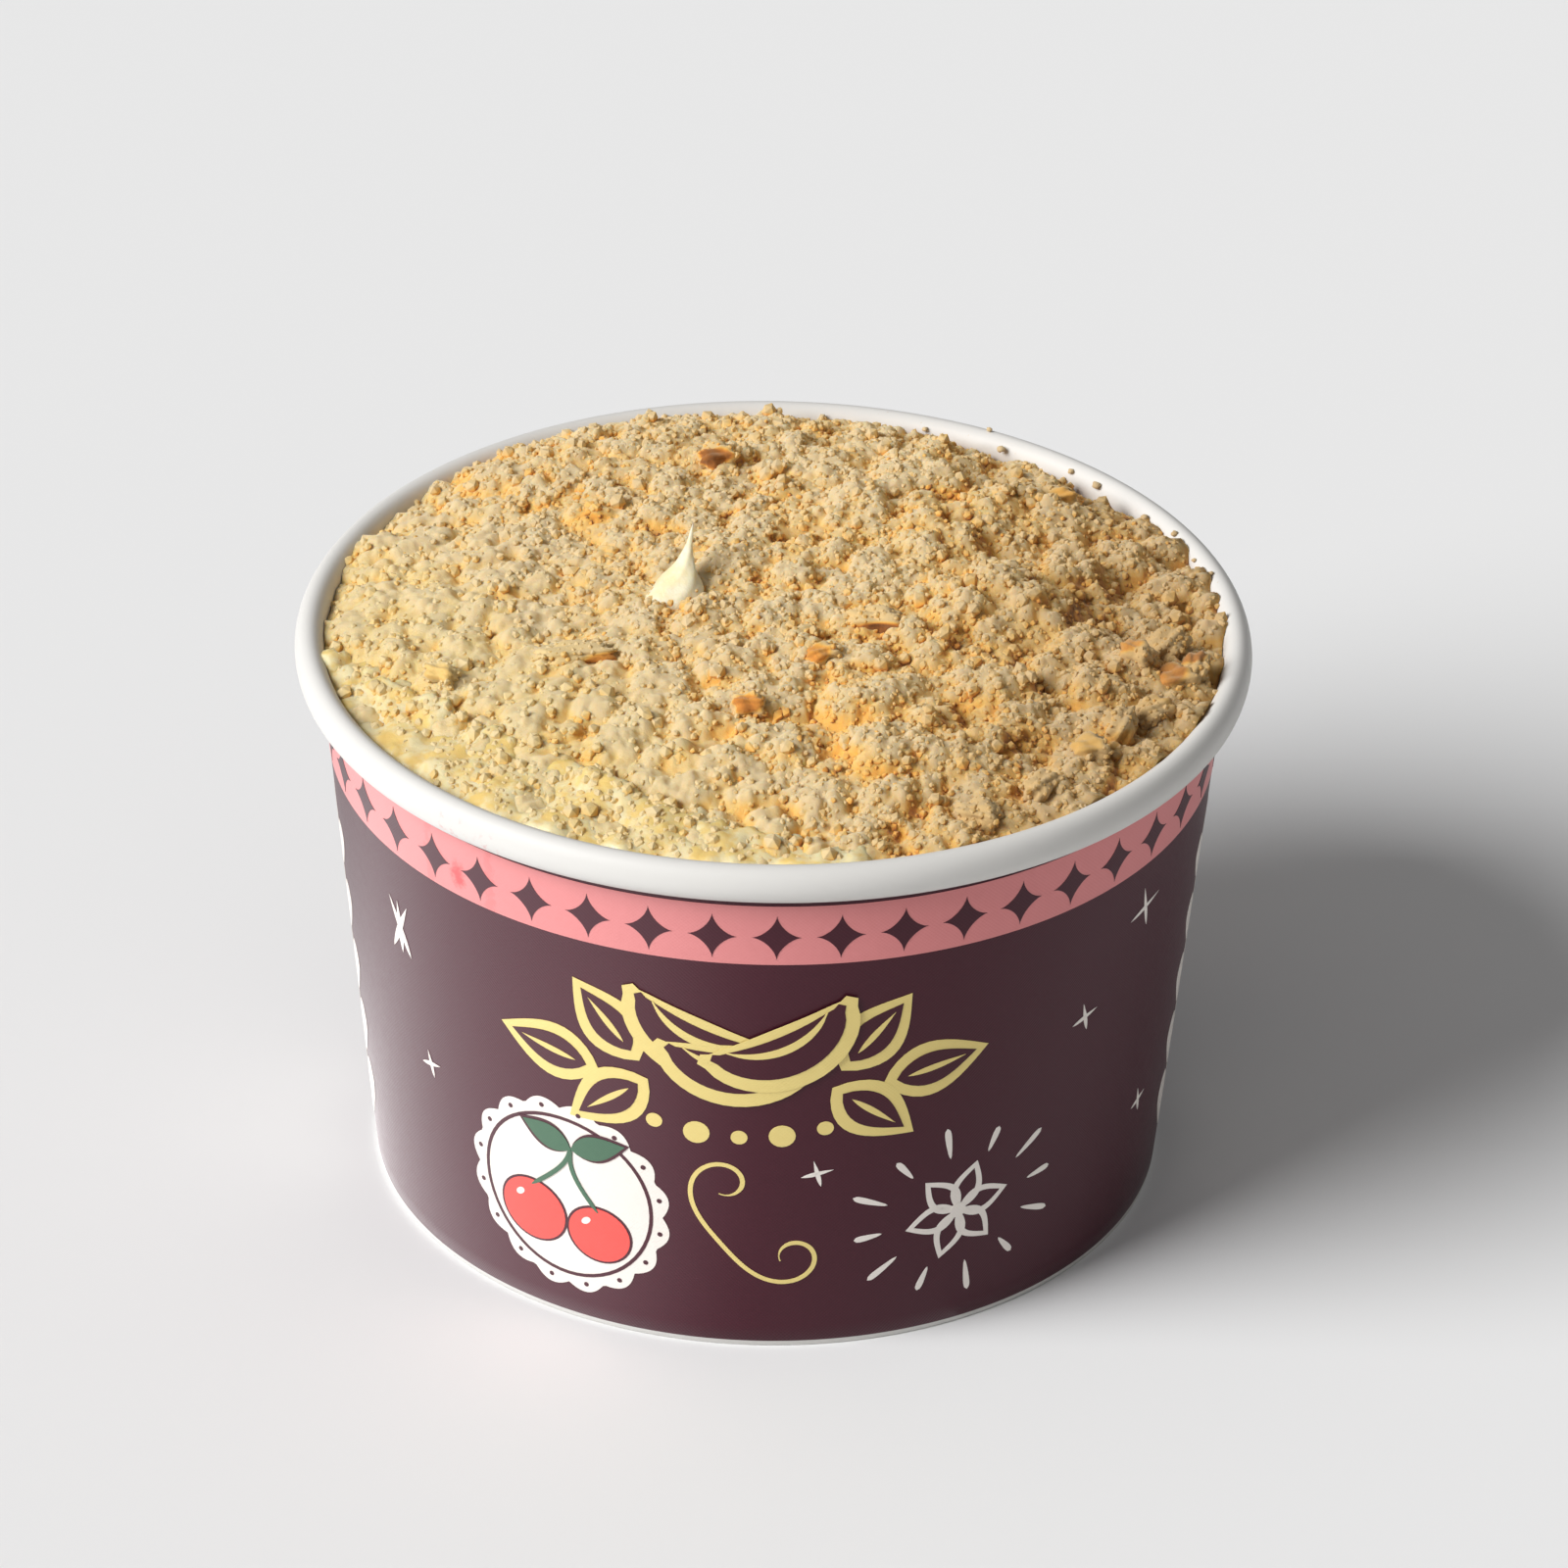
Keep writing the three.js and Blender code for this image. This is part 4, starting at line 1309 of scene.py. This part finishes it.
# Crumbs that sank into the bare cream lie in drifts and have drunk from it.
bed_x, bed_y, bed_z = points_of(pudding.data).T
drift = 0.6 * clumps(bed_x, bed_y, 7.0, 80) + 0.4 * clumps(bed_x, bed_y, 3.1, 90)
drift_cover = smooth_step(bareness(bed_x, bed_y), 0.25, 0.6) * smooth_step(drift, 0.08, 0.40)
drift_cover *= np.hypot(bed_x, bed_y) < FOOD_RADIUS - 0.6
drift_cover *= bed_z > EDGE_LEVEL - COVER_DEPTH
store(pudding.data, "cover", drift_cover)
moist_crumbs = strewn_piece("moist_crumbs", pudding, GRIT_KIT, 0.80, (0.6, 1.3), -0.1, 16)
moist_lumps = strewn_piece("moist_lumps", pudding, LUMP_KIT, 1.7, (1.4, 3.0), -0.2, 17)

# A few crumbs cling to the foot of the peak.
peak_levels = points_of(peak.data)[:, 2]
store(peak.data, "cover", 0.9 * (1 - smooth_step(peak_levels, 64.2, 65.0)))
strewn_piece("peak_crumbs", peak, GRIT_KIT, 0.7, (0.5, 1.0), -0.1, 19)

# Painted shade: what lies deeper than its neighbours is painted more golden, standing in for light that seeps
# into the gaps between the crumbs.
GAP_CELL = 0.3
GAP_ACROSS = 320


def gap_cells(points):
    """The cell of a square grid over the cup that each point lies in."""
    cell = np.floor(points[:, :2] / GAP_CELL).astype(int) + GAP_ACROSS // 2
    return np.clip(cell[:, 0], 0, GAP_ACROSS - 1), np.clip(cell[:, 1], 0, GAP_ACROSS - 1)


def spread(grid, join):
    """Each cell joined with its neighbours, first along x and then along y."""
    for axis in (0, 1):
        grid = join([np.roll(grid, 1, axis), grid, np.roll(grid, -1, axis)])
    return grid


def mean_of_three(grids):
    return sum(grids) / 3


crumb_pieces = [core, lumps, crumbs, fines, lump_fines, moist_crumbs, moist_lumps]
tops = np.full((GAP_ACROSS, GAP_ACROSS), 50.0)
for piece in crumb_pieces:
    piece_points = points_of(piece.data)
    np.maximum.at(tops, gap_cells(piece_points), piece_points[:, 2])
for join in (np.maximum.reduce, np.maximum.reduce, mean_of_three, mean_of_three):
    tops = spread(tops, join)
for piece in crumb_pieces:
    piece_points = points_of(piece.data)
    below = tops[gap_cells(piece_points)] - piece_points[:, 2]
    store(piece.data, "toast", toasting_and_painted_shade(piece.data) + 0.40 * smooth_step(below, 0.30, 1.30) - 0.07)

# Broken bits of wafer: pale crumb inside, and a browned skin on one side. Each has its x and y, its half
# length, width and height, its turn, the way that its skin faces, and how brown the skin is.
WAFER_BITS = [
    (10.3, -5.6, 2.9, 1.6, 1.2, -8, (0.1, -0.9, -0.35), 0.95),
    (-19.5, -12.0, 3.9, 1.5, 0.8, 12, (0.8, -0.5, -0.3), 0.75),
    (39.6, -3.6, 2.4, 1.9, 1.6, 60, (0.3, 0.5, -0.4), 0.55),
    (40.4, -10.4, 2.2, 1.7, 1.4, 20, (-0.4, -0.2, 0.8), 0.72),
    (36.6, -9.2, 1.7, 1.4, 1.2, -35, (-0.5, 0.3, 0.7), 0.68),
    (42.4, -8.4, 1.9, 1.3, 1.3, 80, (-0.3, 0.3, 0.8), 0.78),
    (34.4, -20.4, 2.3, 1.5, 1.5, 75, (0.2, -0.6, -0.5), 0.55),
    (38.0, -16.4, 2.0, 1.6, 1.3, 40, (0.5, 0.5, 0.3), 0.45),
    (20.4, -36.4, 2.3, 1.7, 1.3, -20, (0.2, 0.8, -0.3), 0.5),
    (26.4, -31.6, 1.9, 1.5, 1.3, 50, (0.6, 0.2, -0.3), 0.5),
    (-6.1, 26.7, 1.9, 1.5, 1.1, 15, (-0.1, -0.8, 0.4), 0.85),
    (-2.3, -21.9, 1.6, 1.3, 1.1, 0, (-0.1, -0.7, 0.5), 0.75),
    (4.9, -12.1, 1.6, 1.2, 1.0, 30, (-0.3, -0.5, 0.6), 0.66),
    (29.0, 24.0, 2.0, 1.5, 1.1, 30, (0.2, -0.5, 0.6), 0.5),
    (-33.0, -14.0, 1.7, 1.3, 1.0, -30, (-0.3, -0.5, 0.5), 0.4),
    (31.5, -25.5, 1.8, 1.5, 1.2, 10, (-0.3, -0.3, 0.7), 0.35),
]
PALE_INSIDE = 0.10
bit_points, bit_faces, bit_toast = [], [], []
ball = bmesh.new()
bmesh.ops.create_icosphere(ball, subdivisions=4, radius=1.0)
ball_points = np.array([tuple(v.co) for v in ball.verts])
ball_faces = [[v.index for v in face.verts] for face in ball.faces]
ball.free()
for k, (x, y, half_l, half_w, half_h, turn, skin_way, browning) in enumerate(WAFER_BITS):
    block = np.sign(ball_points) * np.abs(ball_points) ** 0.72
    u, v, w = (block * (2.4, 2.1, 1.9) + k * 3.7).T
    ragged = 0.13 * np.sin(2.1 * u + 1.3 * v) + 0.10 * np.sin(3.9 * v + 2.2 * w)
    ragged += 0.08 * np.sin(7.7 * u + 6.1 * w + v) * np.sin(6.9 * v - 5.3 * w + 2 * u)
    block = block * (1 + ragged)[:, None] * (half_l, half_w, half_h)
    turned = math.radians(turn)
    out_x = block[:, 0] * math.cos(turned) - block[:, 1] * math.sin(turned)
    out_y = block[:, 0] * math.sin(turned) + block[:, 1] * math.cos(turned)
    level = float(crumb_height(np.array([x]), np.array([y]))[0]) + half_h * 0.35
    faces_out = np.stack([out_x / half_l, out_y / half_w, block[:, 2] / half_h], axis=1)
    faces_out /= np.linalg.norm(faces_out, axis=1)[:, None]
    skin = smooth_step(faces_out @ (np.array(skin_way) / np.linalg.norm(skin_way)), 0.45, 0.75)
    first = sum(len(points) for points in bit_points)
    bit_points.append(np.stack([out_x + x, out_y + y, block[:, 2] + level], axis=1))
    bit_faces += [tuple(i + first for i in face) for face in ball_faces]
    bit_toast.append(PALE_INSIDE + skin * (browning - PALE_INSIDE))
bits = new_piece("wafer_bits", np.concatenate(bit_points), bit_faces, [CRUMB_LOOSE])
browned = np.concatenate(bit_toast)
store(bits.data, "toast", browned)
store(bits.data, "tint", np.full(len(browned), 0.3))
store(bits.data, "cover", (browned < 0.25).astype(float))
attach(bits, "root")
strewn_piece("bit_fines", bits, GRIT_KIT, 0.62, (0.35, 0.85), -0.05, 18)

# A few crumbs were left on the rim, most of them at the back right. Each has its turn from +x, its
# distance from the cup's axis, and its size.
RIM_CRUMBS = [(61.6, 47.0, 0.8), (58.6, 45.2, 1.1), (47.7, 45.8, 0.9), (42.9, 45.6, 1.2), (32.6, 45.4, 1.0)]
RIM_CRUMBS += [(26.4, 46.0, 0.9), (24.2, 45.6, 0.7), (19.8, 45.8, 0.7), (14.9, 46.2, 0.8), (70.0, 45.6, 0.8)]
RIM_CRUMBS += [(84.0, 45.4, 0.9), (103.0, 45.8, 0.6), (-14.0, 45.8, 0.6), (-48.0, 46.0, 0.5)]
rim_points, rim_faces = [], []
for k, (turn, reach, size) in enumerate(RIM_CRUMBS):
    x, y = reach * math.cos(math.radians(turn)), reach * math.sin(math.radians(turn))
    across = (reach - ROLL_RADIUS) / (ROLL_WIDTH / 2)
    seat = ROLL_CENTRE + ROLL_HEIGHT / 2 * math.sqrt(max(0.3, 1 - across**2)) + size * 0.3
    shape = bmesh.new()
    bmesh.ops.create_icosphere(shape, subdivisions=2, radius=size * 0.38)
    first = len(rim_points)
    for i, vertex in enumerate(shape.verts):
        push = 0.75 + 0.5 * float(chance(i, k, 31))
        out = vertex.co * push
        rim_points.append((x + out.x, y + out.y, seat + out.z * 0.8))
    rim_faces += [tuple(v.index + first for v in face.verts) for face in shape.faces]
    shape.free()
rim_crumbs = new_piece("rim_crumbs", rim_points, rim_faces, [CRUMB_LOOSE])
store(rim_crumbs.data, "toast", np.full(len(rim_points), -0.05))
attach(rim_crumbs, "root")
